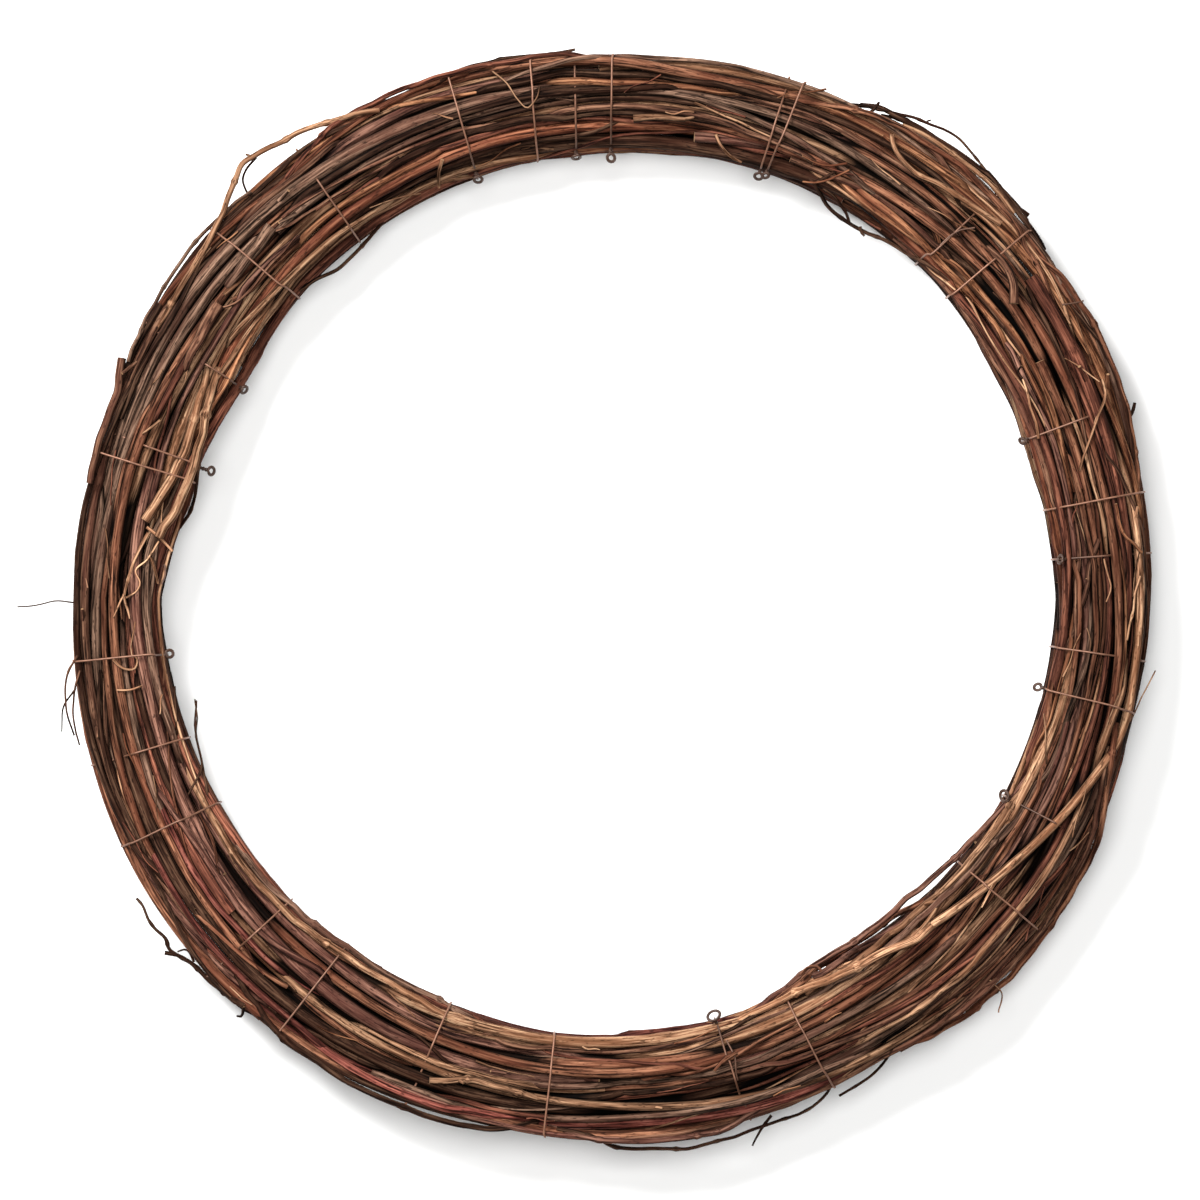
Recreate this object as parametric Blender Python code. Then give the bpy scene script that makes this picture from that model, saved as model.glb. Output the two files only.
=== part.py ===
"""A wreath of wound bark canes bound with wire, lying flat on its back with its front up.

Lengths are in metres and angles in degrees. An angle along the ring is counted anticlockwise
from +X, seen from above. A place inside the band is a lane, from 0 at the hole's edge to 1 at
the outer edge, with how far it lies sunk below the bundle's face."""

import math

import bmesh
import bpy
import numpy as np

# Driving dimensions
BUNDLE_FOOT = 0.0012
BUNDLE_DEPTH = 0.0335
BUNDLE_BOXINESS = 2.4
GAP = 0.0003
STATION_STEP = 7.5
CANE_SIDES = 5
END_MARGIN = 0.8
SHARP_ANGLE = 75
LOOSE_BEYOND = 0.0028

# The wire of the ties
WIRE_RADIUS = 0.00045
WIRE_CLEARANCE = 0.00025
WIRE_CORNERS = 16
EYE_RADIUS = 0.0020
EYE_NECK = 0.0006
EYE_POINTS = 8
EYE_OPENING = 38
WIRE_END_GAP = 0.0017

# The band's outer and inner radius, every 15 degrees
BAND_STEP = 15
BAND = [
    (0.2260, 0.1865), (0.2280, 0.1840), (0.2320, 0.1860), (0.2340, 0.1900),
    (0.2335, 0.1905), (0.2290, 0.1900), (0.2270, 0.1860), (0.2300, 0.1860),
    (0.2310, 0.1830), (0.2290, 0.1830), (0.2270, 0.1785), (0.2255, 0.1810),
    (0.2260, 0.1900), (0.2330, 0.1885), (0.2320, 0.1860), (0.2340, 0.1850),
    (0.2310, 0.1820), (0.2270, 0.1840), (0.2275, 0.1820), (0.2265, 0.1815),
    (0.2240, 0.1760), (0.2320, 0.1810), (0.2270, 0.1840), (0.2240, 0.1835),
]

# Bark colours, sRGB, with roughness
BARKS = {
    "olive_grey": ("#7d6a54", 0.85),
    "grey_brown": ("#6b5545", 0.85),
    "brown": ("#7d5a42", 0.80),
    "light_brown": ("#96755a", 0.80),
    "red_orange": ("#965a3a", 0.75),
    "orange_brown": ("#a0663f", 0.75),
    "red": ("#843f31", 0.70),
    "red_brown": ("#7c4638", 0.75),
    "violet_brown": ("#75544a", 0.80),
    "tan": ("#b08a62", 0.80),
    "dark": ("#453129", 0.85),
}
WIRE_COLOUR = "#6d5546"
WIRE_ROUGHNESS = 0.45
WIRE_METALLIC = 0.7

# Canes seen on the front: bark, first and last diameter, then angle, lane and how far sunk
FRONT_CANES = [
    ("olive_grey", 0.0063, 0.0060, [
        (36, 0.45, 0.012), (72, 0.62, 0.007), (88, 0.69, 0), (120, 0.68, 0), (140, 0.745, 0),
        (161, 0.79, 0), (175, 0.80, 0.006), (207, 0.75, 0.012)]),
    ("red_orange", 0.0050, 0.0054, [
        (-22, 0.20, 0.012), (-5, 0.10, 0.006), (8, 0.08, 0), (30, 0.09, 0), (43, 0.14, 0),
        (50, 0.13, 0), (62, 0.20, 0.007), (74, 0.24, 0.006), (84, 0.25, 0), (96, 0.26, 0),
        (105, 0.34, 0), (120, 0.30, 0), (148, 0.25, 0), (155, 0.15, 0), (162, 0.07, 0),
        (176, 0.05, 0), (190, 0.10, 0.008), (211, 0.20, 0.012)]),
    ("tan", 0.0050, 0.0050, [
        (124, 0.40, 0.012), (138, 0.33, 0.006), (149, 0.28, 0.002), (155, 0.29, 0),
        (166, 0.19, 0), (171, 0.16, 0), (182, 0.20, 0.007), (200, 0.35, 0.012),
        (270, 0.30, 0.012), (282, 0.15, 0.006), (290, 0.12, 0), (303, 0.13, 0), (320, 0.18, 0),
        (330, 0.12, 0), (336, 0.21, 0), (343, 0.21, 0), (350, 0.14, 0), (367, 0.08, 0),
        (380, 0.10, 0.008), (398, 0.20, 0.013)]),
    ("brown", 0.0042, 0.0042, [
        (123, 0.65, 0.010), (136, 0.60, 0.005), (143, 0.58, 0), (158, 0.50, 0), (170, 0.57, 0),
        (190, 0.49, 0), (200, 0.47, 0), (210, 0.55, 0), (218, 0.61, 0.001), (230, 0.60, 0.008),
        (270, 0.55, 0.012), (330, 0.60, 0.012), (342, 0.64, 0.005), (350, 0.65, 0),
        (360, 0.57, 0), (380, 0.49, 0), (395, 0.51, 0), (405, 0.55, 0), (425, 0.57, 0),
        (436, 0.55, 0.006), (446, 0.50, 0.010)]),
    ("violet_brown", 0.0050, 0.0067, [
        (46, 0.60, 0.012), (66, 0.72, 0.006), (76, 0.80, 0), (84, 0.93, 0), (90, 0.94, 0),
        (105, 0.85, 0), (120, 0.82, 0), (130, 0.80, 0.003), (142, 0.60, 0.009),
        (160, 0.30, 0.009), (169, 0.19, 0.004), (176, 0.17, 0), (200, 0.19, 0), (208, 0.22, 0),
        (220, 0.29, 0), (230, 0.42, 0), (240, 0.46, 0), (248, 0.42, 0), (262, 0.45, 0.007),
        (290, 0.50, 0.012)]),
    ("red", 0.0052, 0.0052, [
        (105, 0.50, 0.012), (180, 0.50, 0.010), (193, 0.42, 0.004), (200, 0.39, 0),
        (210, 0.34, 0), (219.5, 0.42, 0)]),
    ("red", 0.0044, 0.0044, [
        (162, 0.80, 0.012), (205, 0.86, 0.008), (216, 0.88, 0.003), (222, 0.89, 0),
        (240, 0.905, 0), (250, 0.90, 0), (258, 0.94, 0), (265, 0.93, 0), (280, 0.82, 0),
        (290, 0.91, 0.001), (296, 0.92, 0.002), (308, 0.85, 0.008), (350, 0.75, 0.012)]),
    ("light_brown", 0.0040, 0.0040, [
        (272, 0.20, 0.013), (280, 0.08, 0.009), (286, 0.03, 0.004), (290, 0.02, -0.0035),
        (294, 0.04, -0.005), (298, 0.085, -0.0055), (302, 0.125, -0.0055), (309, 0.17, -0.0055),
        (313, 0.178, -0.0055), (319, 0.25, -0.0055), (325, 0.35, -0.0055), (331, 0.495, -0.005),
        (334, 0.59, -0.005), (337, 0.67, -0.005), (340, 0.765, -0.005), (342.5, 0.845, -0.005),
        (345, 0.915, -0.005), (350, 0.93, -0.003), (356, 0.90, 0), (370, 0.88, 0),
        (376, 0.85, 0.003), (392, 0.75, 0.010)]),
    ("violet_brown", 0.0050, 0.0050, [
        (276, 0.45, 0.012), (316, 0.45, 0.006), (326, 0.42, 0), (335, 0.37, 0), (345, 0.39, 0),
        (355, 0.33, 0), (365, 0.21, 0), (375, 0.27, 0), (387, 0.20, 0), (398, 0.25, 0.007),
        (440, 0.35, 0.012)]),
    ("light_brown", 0.0044, 0.0044, [
        (262, 0.50, 0.012), (330, 0.52, 0.006), (340, 0.51, 0), (355, 0.44, 0), (365, 0.32, 0),
        (375, 0.36, 0), (380, 0.33, 0), (389, 0.41, 0)]),
    ("red_brown", 0.0060, 0.0063, [
        (285, 0.60, 0.012), (340, 0.70, 0.007), (352, 0.73, 0.001), (365, 0.69, 0),
        (372, 0.72, 0), (380, 0.675, 0), (397.5, 0.775, 0)]),
    ("orange_brown", 0.0060, 0.0060, [
        (-38, 0.70, 0.012), (0, 0.85, 0.007), (10, 0.87, 0.003), (17, 0.865, 0),
        (28, 0.875, 0), (36, 0.88, 0), (44, 0.83, 0), (52, 0.80, 0), (60, 0.815, 0),
        (72, 0.86, 0), (84, 0.80, 0.007), (130, 0.70, 0.012)]),
    ("orange_brown", 0.0046, 0.0046, [
        (238, 0.30, 0.012), (256, 0.27, 0.006), (268, 0.26, 0), (284, 0.27, 0),
        (292, 0.33, 0.005), (308, 0.36, 0.005), (316, 0.40, 0.002), (324, 0.43, 0),
        (336, 0.45, 0.007), (380, 0.40, 0.012), (392, 0.38, 0.006), (402, 0.39, 0),
        (410, 0.40, 0), (423, 0.38, 0), (430, 0.315, 0), (436, 0.28, 0), (440, 0.33, 0),
        (452, 0.35, 0.007), (480, 0.40, 0.012)]),
    ("dark", 0.0068, 0.0048, [
        (24, 0.35, 0.012), (36, 0.28, 0.006), (44, 0.25, 0), (52, 0.21, 0), (65, 0.165, 0),
        (75, 0.12, 0), (96, 0.08, 0), (108, 0.15, 0.008), (140, 0.40, 0.012),
        (180, 0.60, 0.010), (188, 0.63, 0.004), (192, 0.63, 0), (210, 0.62, 0), (220, 0.70, 0),
        (230, 0.68, 0), (250, 0.74, 0), (260, 0.78, 0), (270, 0.78, 0), (282, 0.72, 0.007),
        (316, 0.60, 0.012)]),
    ("light_brown", 0.0036, 0.0040, [
        (216, 0.55, 0.012), (236, 0.58, 0.006), (246, 0.585, 0), (255, 0.54, 0), (262, 0.60, 0),
        (277, 0.61, 0), (285, 0.68, 0), (293, 0.86, -0.002), (300, 0.92, 0), (306, 0.94, 0),
        (318, 0.85, 0.007), (400, 0.80, 0.010), (414, 0.86, 0.005), (422, 0.90, 0),
        (436, 0.925, 0), (442, 0.90, -0.002), (451.5, 0.79, -0.003)]),
    ("olive_grey", 0.0038, 0.0038, [
        (-8, 0.40, 0.012), (40, 0.48, 0.006), (52, 0.50, 0.003), (62, 0.54, 0.002),
        (70, 0.59, 0), (80, 0.66, 0), (90, 0.64, 0), (100, 0.59, 0), (110, 0.54, 0),
        (118, 0.47, 0), (127, 0.44, 0), (132.5, 0.54, 0)]),
    ("brown", 0.0044, 0.0044, [
        (186, 0.30, 0.012), (216, 0.20, 0.006), (226, 0.20, 0.001), (236, 0.28, 0.003),
        (244, 0.36, 0.003), (252, 0.42, 0), (260, 0.42, 0), (268, 0.38, 0), (276, 0.33, 0),
        (292, 0.33, 0), (310, 0.38, 0), (318, 0.36, 0), (330, 0.40, 0.007),
        (358, 0.45, 0.012)]),
    ("tan", 0.0050, 0.0050, [
        (186, 0.20, 0.012), (226, 0.10, 0.006), (236, 0.08, 0), (250, 0.08, 0), (258, 0.13, 0),
        (265, 0.12, 0), (280, 0.07, 0), (302, 0.07, 0), (314, 0.12, 0.008),
        (352, 0.20, 0.012)]),
    ("grey_brown", 0.0044, 0.0044, [
        (98, 0.85, 0.012), (118, 0.86, 0.006), (128, 0.87, 0.001), (136, 0.90, 0),
        (155, 0.90, 0), (165, 0.88, 0), (180, 0.75, 0), (188, 0.74, 0), (196, 0.80, 0),
        (204, 0.84, 0), (212, 0.84, 0), (224, 0.80, 0.008), (280, 0.75, 0.012),
        (292, 0.80, 0.005), (300, 0.83, 0), (312, 0.90, 0), (330, 0.90, 0), (345, 0.94, 0),
        (356, 0.92, 0.008), (372, 0.85, 0.012)]),
    ("red_brown", 0.0040, 0.0040, [
        (236, 0.60, 0.012), (284, 0.64, 0.006), (296, 0.66, 0), (304, 0.66, 0), (312, 0.62, 0),
        (328, 0.68, 0), (336, 0.62, 0), (352, 0.58, 0), (364, 0.60, 0.007),
        (412, 0.65, 0.012)]),
]

# Canes of the back, sides and heart: bark, first and last diameter, first and last angle,
# place round the bundle as a clock angle (0 outside, 90 front, 180 hole side, 270 back),
# and how far out of the heart, 1 being the bundle's skin
BACK_CANES = [
    ("grey_brown", 0.0070, 0.0070, 12, 348, 270, 1.0),
    ("brown", 0.0058, 0.0052, 80, 420, 241, 1.0),
    ("olive_grey", 0.0056, 0.0054, 200, 545, 299, 1.0),
    ("dark", 0.0052, 0.0050, 300, 640, 215, 1.0),
    ("violet_brown", 0.0052, 0.0050, 30, 372, 325, 1.0),
    ("brown", 0.0052, 0.0048, 150, 495, 190, 1.0),
    ("grey_brown", 0.0050, 0.0050, 250, 590, 350, 1.0),
    ("red_brown", 0.0048, 0.0044, 60, 402, 163, 1.0),
    ("brown", 0.0046, 0.0046, 170, 512, 17, 1.0),
    ("violet_brown", 0.0050, 0.0046, 100, 440, 138, 0.85),
    ("olive_grey", 0.0052, 0.0050, 20, 362, 42, 0.85),
    ("light_brown", 0.0056, 0.0052, 280, 620, 90, 0.72),
    ("brown", 0.0084, 0.0080, 140, 485, 205, 0.35),
    ("grey_brown", 0.0086, 0.0080, 320, 665, 335, 0.35),
]
SWAY = 13
SWAY_TURNS = 2
SWAY_PHASE = 77

# Thin strays that leave the bundle in places: bark, diameters, then angle, radius and height
STRAY_CANES = [
    ("dark", 0.0015, 0.0027, [
        (38, 0.2300, 0.022), (41, 0.2330, 0.023), (45, 0.2366, 0.024), (53, 0.2402, 0.025),
        (60, 0.2362, 0.025), (66, 0.2318, 0.024), (90, 0.2240, 0.021), (110, 0.2270, 0.021),
        (117, 0.2320, 0.023), (124, 0.2366, 0.025), (129.5, 0.2394, 0.026),
        (133, 0.2344, 0.025), (138, 0.2278, 0.022), (160, 0.2220, 0.019), (205, 0.2290, 0.021),
        (212, 0.2362, 0.024), (218, 0.2377, 0.025), (222, 0.2350, 0.024), (229, 0.2290, 0.022),
        (258, 0.2240, 0.021), (264, 0.2262, 0.023), (272, 0.2300, 0.025), (279, 0.2318, 0.025),
        (286, 0.2300, 0.025), (293, 0.2240, 0.022), (300, 0.2210, 0.020)]),
    ("grey_brown", 0.0026, 0.0024, [
        (118, 0.1850, 0.021), (126, 0.1812, 0.024), (132, 0.1812, 0.025), (140, 0.1840, 0.022),
        (186, 0.1920, 0.020), (193, 0.1860, 0.023), (199, 0.1870, 0.024), (206, 0.1900, 0.021),
        (240, 0.1860, 0.020), (296, 0.1790, 0.021), (303, 0.1768, 0.023), (313, 0.1768, 0.025),
        (322, 0.1806, 0.024), (330, 0.1850, 0.021), (370, 0.1880, 0.020), (402, 0.1920, 0.022),
        (410, 0.1890, 0.025), (416, 0.1862, 0.026), (421, 0.1858, 0.026), (425, 0.1900, 0.024),
        (430, 0.1950, 0.020)]),
]

# Wire ties: angle at the outer edge, angle at the hole, and whether it ends in an eye there
TIES = [
    (4.8, 5.0, True), (11.3, 11.5, False), (20.8, 21.0, True), (41.3, 42.0, False),
    (69.5, 70.2, True), (90.0, 90.3, True), (98.4, 99.8, False), (107.4, 107.9, True),
    (125.2, 125.4, False), (137.5, 136.3, False), (149.4, 150.6, True), (161.4, 162.5, True),
    (164.0, 164.6, False), (186.6, 187.2, True), (197.8, 198.2, False), (206.8, 207.5, False),
    (232.3, 232.6, False), (247.7, 248.2, False), (262.8, 262.3, False), (284.8, 283.6, True),
    (294.4, 293.2, False), (322.0, 322.6, False), (332.8, 333.2, True), (347.5, 348.2, True),
]

# Cut side twigs and buds: the cane they grow from, angle, lean off the cane's run (over 90
# leans back), clock angle they point to, length and thickness at the root
SPURS = [
    ("stray_cane_01", 47.0, 40, 20, 0.0048, 0.0013),
    ("stray_cane_01", 52.5, 50, 350, 0.0040, 0.0013),
    ("stray_cane_01", 57.5, 35, 30, 0.0055, 0.0013),
    ("stray_cane_01", 121.0, 38, 10, 0.0060, 0.0015),
    ("stray_cane_01", 129.5, 145, 20, 0.0085, 0.0016),
    ("stray_cane_01", 132.0, 28, 150, 0.0110, 0.0015),
    ("stray_cane_01", 213.5, 50, 20, 0.0060, 0.0015),
    ("stray_cane_01", 216.5, 140, 340, 0.0055, 0.0015),
    ("stray_cane_01", 219.5, 45, 40, 0.0065, 0.0015),
    ("stray_cane_01", 286.0, 145, 0, 0.0060, 0.0015),
    ("stray_cane_02", 194.5, 35, 165, 0.0100, 0.0014),
    ("stray_cane_02", 413.0, 140, 170, 0.0065, 0.0014),
    ("front_cane_08", 326.0, 35, 80, 0.0050, 0.0018),
    ("front_cane_16", 129.0, 32, 75, 0.0080, 0.0020),
    ("front_cane_15", 250.5, 35, 80, 0.0075, 0.0020),
    ("front_cane_11", 384.0, 38, 95, 0.0065, 0.0022),
    ("front_cane_01", 131.0, 145, 85, 0.0060, 0.0022),
    ("front_cane_05", 213.0, 40, 95, 0.0060, 0.0022),
    ("front_cane_19", 153.5, 40, 60, 0.0065, 0.0018),
    ("front_cane_12", 22.5, 45, 70, 0.0060, 0.0020),
]
SPUR_TIP = 0.6
SPUR_SIDES = 4

# The first back cane sags to the surface between these pairs of angles
FOOT_SPANS = [(52.5, 60.0), (172.5, 180.0), (217.5, 225.0), (307.5, 315.0)]

# How the canes are laid: rounds of easing them apart
EASING_ROUNDS = 700
SETTLING_ROUNDS = 500
HOLD_FRONT = 0.10
HOLD_ON_TOP = 0.50
HOLD_BACK = 0.02
HOLD_STRAY = 0.50
SETTLED_HOLD = 0.2
STIFFNESS = 0.12
SETTLED_STIFFNESS = 0.012
FRONT_GIVE = 0.35
ON_FACE = 0.002
ON_TOP = -0.003
PUSH = 0.6
SPAN_PARTS = (0.0, 0.25, 0.5, 0.75)

STATIONS = round(360 / STATION_STEP)
CORNER_ANGLES = [math.radians(90 + 360 * i / CANE_SIDES) for i in range(CANE_SIDES)]
CORNERS = np.array([(math.cos(a), math.sin(a)) for a in CORNER_ANGLES])
FLAT_DROP = -float(CORNERS[:, 1].min())


def band_at(angle):
    """Outer and inner radius of the bundle at an angle along the ring."""
    angles = [BAND_STEP * i for i in range(len(BAND))]
    outer = np.interp(angle, angles, [pair[0] for pair in BAND], period=360)
    inner = np.interp(angle, angles, [pair[1] for pair in BAND], period=360)
    return outer, inner


def face_height(across, radius):
    """Height of a cane's axis when it lies in the front face, across running from -1 to 1."""
    half = BUNDLE_DEPTH / 2
    reach = (1 - min(abs(across), 1.0) ** BUNDLE_BOXINESS) ** (1 / BUNDLE_BOXINESS)
    return BUNDLE_FOOT + half + (half - radius) * reach


def front_place(angle, lane, sunk, radius):
    """Radius and height of a front cane's axis at one angle."""
    outer, inner = band_at(angle)
    middle = (outer + inner) / 2
    room = (outer - inner) / 2 - radius
    along = inner + lane * (outer - inner)
    across = (along - middle) / room
    return np.clip(along, middle - room, middle + room), face_height(across, radius) - sunk


def back_place(angle, clock, depth, phase, radius):
    """Radius and height of a back cane's axis, which sways slowly round its clock place."""
    outer, inner = band_at(angle)
    turn = math.radians(clock + SWAY * math.sin(math.radians(SWAY_TURNS * angle + phase)))
    wide = (outer - inner) / 2 - radius
    high = BUNDLE_DEPTH / 2 - radius
    square = (abs(math.cos(turn)) ** BUNDLE_BOXINESS + abs(math.sin(turn)) ** BUNDLE_BOXINESS)
    reach = depth * square ** (-1 / BUNDLE_BOXINESS)
    middle = (outer + inner) / 2
    return (middle + wide * reach * math.cos(turn),
            BUNDLE_FOOT + BUNDLE_DEPTH / 2 + high * reach * math.sin(turn))


class Cane:
    """One cane: its name, bark, the angles it runs between, and its sections by station."""

    def __init__(self, name, bark, first, last, thick, place, hold, give, banded):
        self.name = name
        self.bark = bark
        self.first = first
        self.last = last
        self.thick = thick
        self.place = place
        self.hold = hold
        self.give = give
        self.banded = banded

    def radius(self, angle):
        share = (angle - self.first) / (self.last - self.first)
        return 0.5 * (self.thick[0] + (self.thick[1] - self.thick[0]) * min(max(share, 0), 1))


def front_cane(index, bark, thin, thick, path):
    angles = [point[0] for point in path]
    lanes = [point[1] for point in path]
    sinks = [point[2] for point in path]

    def place(angle, radius):
        lane = np.interp(angle, angles, lanes)
        return front_place(angle, lane, np.interp(angle, angles, sinks), radius)

    def hold(angle):
        sunk = np.interp(angle, angles, sinks)
        if sunk < ON_TOP:
            return HOLD_ON_TOP
        return HOLD_FRONT if sunk < ON_FACE else HOLD_BACK

    def give(angle):
        return FRONT_GIVE if np.interp(angle, angles, sinks) < ON_FACE else 1.0

    name = f"front_cane_{index:02d}"
    return Cane(name, bark, angles[0], angles[-1], (thin, thick), place, hold, give, True)


def back_cane(index, bark, thick, thin, first, last, clock, depth):
    def place(angle, radius):
        return back_place(angle, clock, depth, SWAY_PHASE * index, radius)

    name = f"back_cane_{index:02d}"
    return Cane(name, bark, first, last, (thick, thin), place,
                lambda angle: HOLD_BACK, lambda angle: 1.0, True)


def stray_cane(index, bark, thin, thick, path):
    angles = [point[0] for point in path]

    def place(angle, radius):
        return (np.interp(angle, angles, [point[1] for point in path]),
                np.interp(angle, angles, [point[2] for point in path]))

    name = f"stray_cane_{index:02d}"
    return Cane(name, bark, angles[0], angles[-1], (thin, thick), place,
                lambda angle: HOLD_STRAY, lambda angle: 1.0, False)


def lay_canes(canes):
    """Gives every cane its axis at each station, eased apart so that none cuts another."""
    count = len(canes)
    home = np.zeros((count, STATIONS, 2))
    radii = np.zeros((count, STATIONS))
    there = np.zeros((count, STATIONS), bool)
    joined = np.zeros((count, STATIONS), bool)
    hold = np.zeros((count, STATIONS, 1))
    give = np.ones((count, STATIONS))
    for i, cane in enumerate(canes):
        low = math.floor(cane.first / STATION_STEP)
        high = math.ceil(cane.last / STATION_STEP)
        for station in range(low, high + 1):
            angle = station * STATION_STEP
            slot = station % STATIONS
            radius = cane.radius(angle)
            home[i, slot] = cane.place(angle, radius)
            radii[i, slot] = radius
            there[i, slot] = True
            joined[i, slot] = station < high
            hold[i, slot] = cane.hold(angle)
            give[i, slot] = cane.give(angle)
    stations = [i * STATION_STEP for i in range(STATIONS)]
    bands = np.array([band_at(angle) for angle in stations])
    banded = np.array([cane.banded for cane in canes])[:, None] & there
    least = BUNDLE_FOOT + FLAT_DROP * radii
    feet = [round(angle / STATION_STEP) for span in FOOT_SPANS for angle in span]
    foot_cane = next(i for i, cane in enumerate(canes) if cane.name == "back_cane_01")
    places = home.copy()
    apart = radii[:, None] + radii[None] + GAP
    self_pair = np.eye(count, dtype=bool)[:, :, None]
    share = give[:, None] / (give[:, None] + give[None])
    before = joined & np.roll(joined, 1, axis=1)
    for turn in range(EASING_ROUNDS + SETTLING_ROUNDS):
        easing = turn < EASING_ROUNDS
        pull = hold if easing else np.where(hold < HOLD_STRAY, 0, hold * SETTLED_HOLD)
        places += pull * (home - places) * there[..., None]
        middle = 0.5 * (np.roll(places, 1, axis=1) + np.roll(places, -1, axis=1))
        stiff = STIFFNESS if easing else SETTLED_STIFFNESS
        places += stiff * np.where(before[..., None], middle - places, 0)
        for part in SPAN_PARTS:
            present = joined if part else there
            following = np.roll(places, -1, axis=1)
            spots = (1 - part) * places + part * following
            wide = (1 - part) * apart + part * np.roll(apart, -1, axis=2)
            away = spots[:, None] - spots[None]
            distance = np.sqrt((away ** 2).sum(axis=3)) + 1e-9
            near = present[:, None] & present[None] & ~self_pair
            push = np.where(near, np.maximum(wide - distance, 0), 0) * share
            shift = PUSH * (away * (push / distance)[..., None]).sum(axis=1)
            weight = (1 - part) ** 2 + part ** 2
            places += shift * (1 - part) / weight
            places += np.roll(shift, 1, axis=1) * part / weight
        inside = np.clip(places[..., 0], bands[:, 1] + radii, bands[:, 0] - radii)
        places[..., 0] = np.where(banded, inside, places[..., 0])
        places[..., 1] = np.maximum(places[..., 1], least)
        places[foot_cane, feet, 1] = FLAT_DROP * radii[foot_cane, feet]
    for i, cane in enumerate(canes):
        low = math.floor(cane.first / STATION_STEP)
        high = math.ceil(cane.last / STATION_STEP)
        cane.sections = {}
        for station in range(low, high + 1):
            slot = station % STATIONS
            cane.sections[station] = places[i, slot] + radii[i, slot] * CORNERS


def section_at(cane, angle):
    """The cane's section in the upright plane at an angle, as radius and height per corner."""
    station = math.floor(angle / STATION_STEP + 1e-9)
    here = cane.sections[station]
    if abs(angle - station * STATION_STEP) < 1e-6:
        return here
    ahead = cane.sections[station + 1]
    from_here = here[:, 0] * math.sin(math.radians(angle - station * STATION_STEP))
    to_ahead = ahead[:, 0] * math.sin(math.radians((station + 1) * STATION_STEP - angle))
    along = from_here / (from_here + to_ahead)
    reach = math.sin(math.radians(STATION_STEP)) / (from_here + to_ahead)
    radius = here[:, 0] * ahead[:, 0] * reach
    return np.stack([radius, here[:, 1] + along * (ahead[:, 1] - here[:, 1])], axis=1)


def around(angle, radius, height):
    turn = math.radians(angle)
    return (radius * math.cos(turn), radius * math.sin(turn), height)


def tube(bm, rings, closed=False):
    """Skins rings of points, and caps both ends unless the tube runs into itself."""
    loops = [[bm.verts.new(point) for point in ring] for ring in rings]
    sides = len(loops[0])
    pairs = list(zip(loops, loops[1:]))
    if closed:
        pairs.append((loops[-1], loops[0]))
    for one, two in pairs:
        for i in range(sides):
            j = (i + 1) % sides
            bm.faces.new((one[i], one[j], two[j], two[i]))
    if not closed:
        bm.faces.new(loops[0][::-1])
        bm.faces.new(loops[-1])


def linear(code):
    values = [int(code[i:i + 2], 16) / 255 for i in (1, 3, 5)]
    return [v / 12.92 if v <= 0.04045 else ((v + 0.055) / 1.055) ** 2.4 for v in values]


def material(name, code, roughness, metallic):
    made = bpy.data.materials.new(name)
    made.use_nodes = True
    shader = made.node_tree.nodes["Principled BSDF"]
    shader.inputs["Base Color"].default_value = (*linear(code), 1)
    shader.inputs["Roughness"].default_value = roughness
    shader.inputs["Metallic"].default_value = metallic
    return made


def finish(bm, name, look):
    """Turns the working mesh into a named object with its material."""
    bmesh.ops.recalc_face_normals(bm, faces=bm.faces)
    mesh = bpy.data.meshes.new(name)
    bm.to_mesh(mesh)
    bm.free()
    mesh.shade_smooth()
    mesh.set_sharp_from_angle(angle=math.radians(SHARP_ANGLE))
    mesh.materials.append(look)
    made = bpy.data.objects.new(name, mesh)
    bpy.context.scene.collection.objects.link(made)
    return made


def make_spurs(cane):
    """The cane's side twigs, each a tapered prism rooted on the cane's axis, in a collection."""
    spurs = bpy.data.collections.new(cane.name + "_spurs")
    for name, angle, lean, clock, length, thick in SPURS:
        if name != cane.name:
            continue
        turn = math.radians(angle)
        along = np.array((-math.sin(turn), math.cos(turn), 0))
        outward = np.array((math.cos(turn), math.sin(turn), 0))
        rise = math.radians(clock)
        aside = math.cos(rise) * outward + math.sin(rise) * np.array((0, 0, 1))
        facing = math.cos(math.radians(lean)) * along + math.sin(math.radians(lean)) * aside
        root = np.array(around(angle, *section_at(cane, angle).mean(axis=0)))
        side = np.cross(facing, along)
        side /= np.linalg.norm(side)
        other = np.cross(facing, side)
        reach = cane.radius(angle) / math.sin(math.radians(lean)) + length
        rings = []
        for share, scale in ((0, 1), (1, SPUR_TIP)):
            spin = [2 * math.pi * i / SPUR_SIDES for i in range(SPUR_SIDES)]
            rings.append([root + facing * reach * share + scale * thick / 2
                          * (math.cos(a) * side + math.sin(a) * other) for a in spin])
        bm = bmesh.new()
        tube(bm, rings)
        bmesh.ops.recalc_face_normals(bm, faces=bm.faces)
        mesh = bpy.data.meshes.new(cane.name + "_spur")
        bm.to_mesh(mesh)
        bm.free()
        spurs.objects.link(bpy.data.objects.new(cane.name + "_spur", mesh))
    return spurs


def fuse(body, others):
    """Joins a collection's objects to the body in one union, and removes them."""
    union = body.modifiers.new("spurs", "BOOLEAN")
    union.operation = "UNION"
    union.operand_type = "COLLECTION"
    union.collection = others
    bpy.context.view_layer.update()
    graph = bpy.context.evaluated_depsgraph_get()
    fused = bpy.data.meshes.new_from_object(body.evaluated_get(graph))
    body.modifiers.remove(union)
    body.data = fused
    for other in list(others.objects):
        bpy.data.objects.remove(other)


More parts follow.
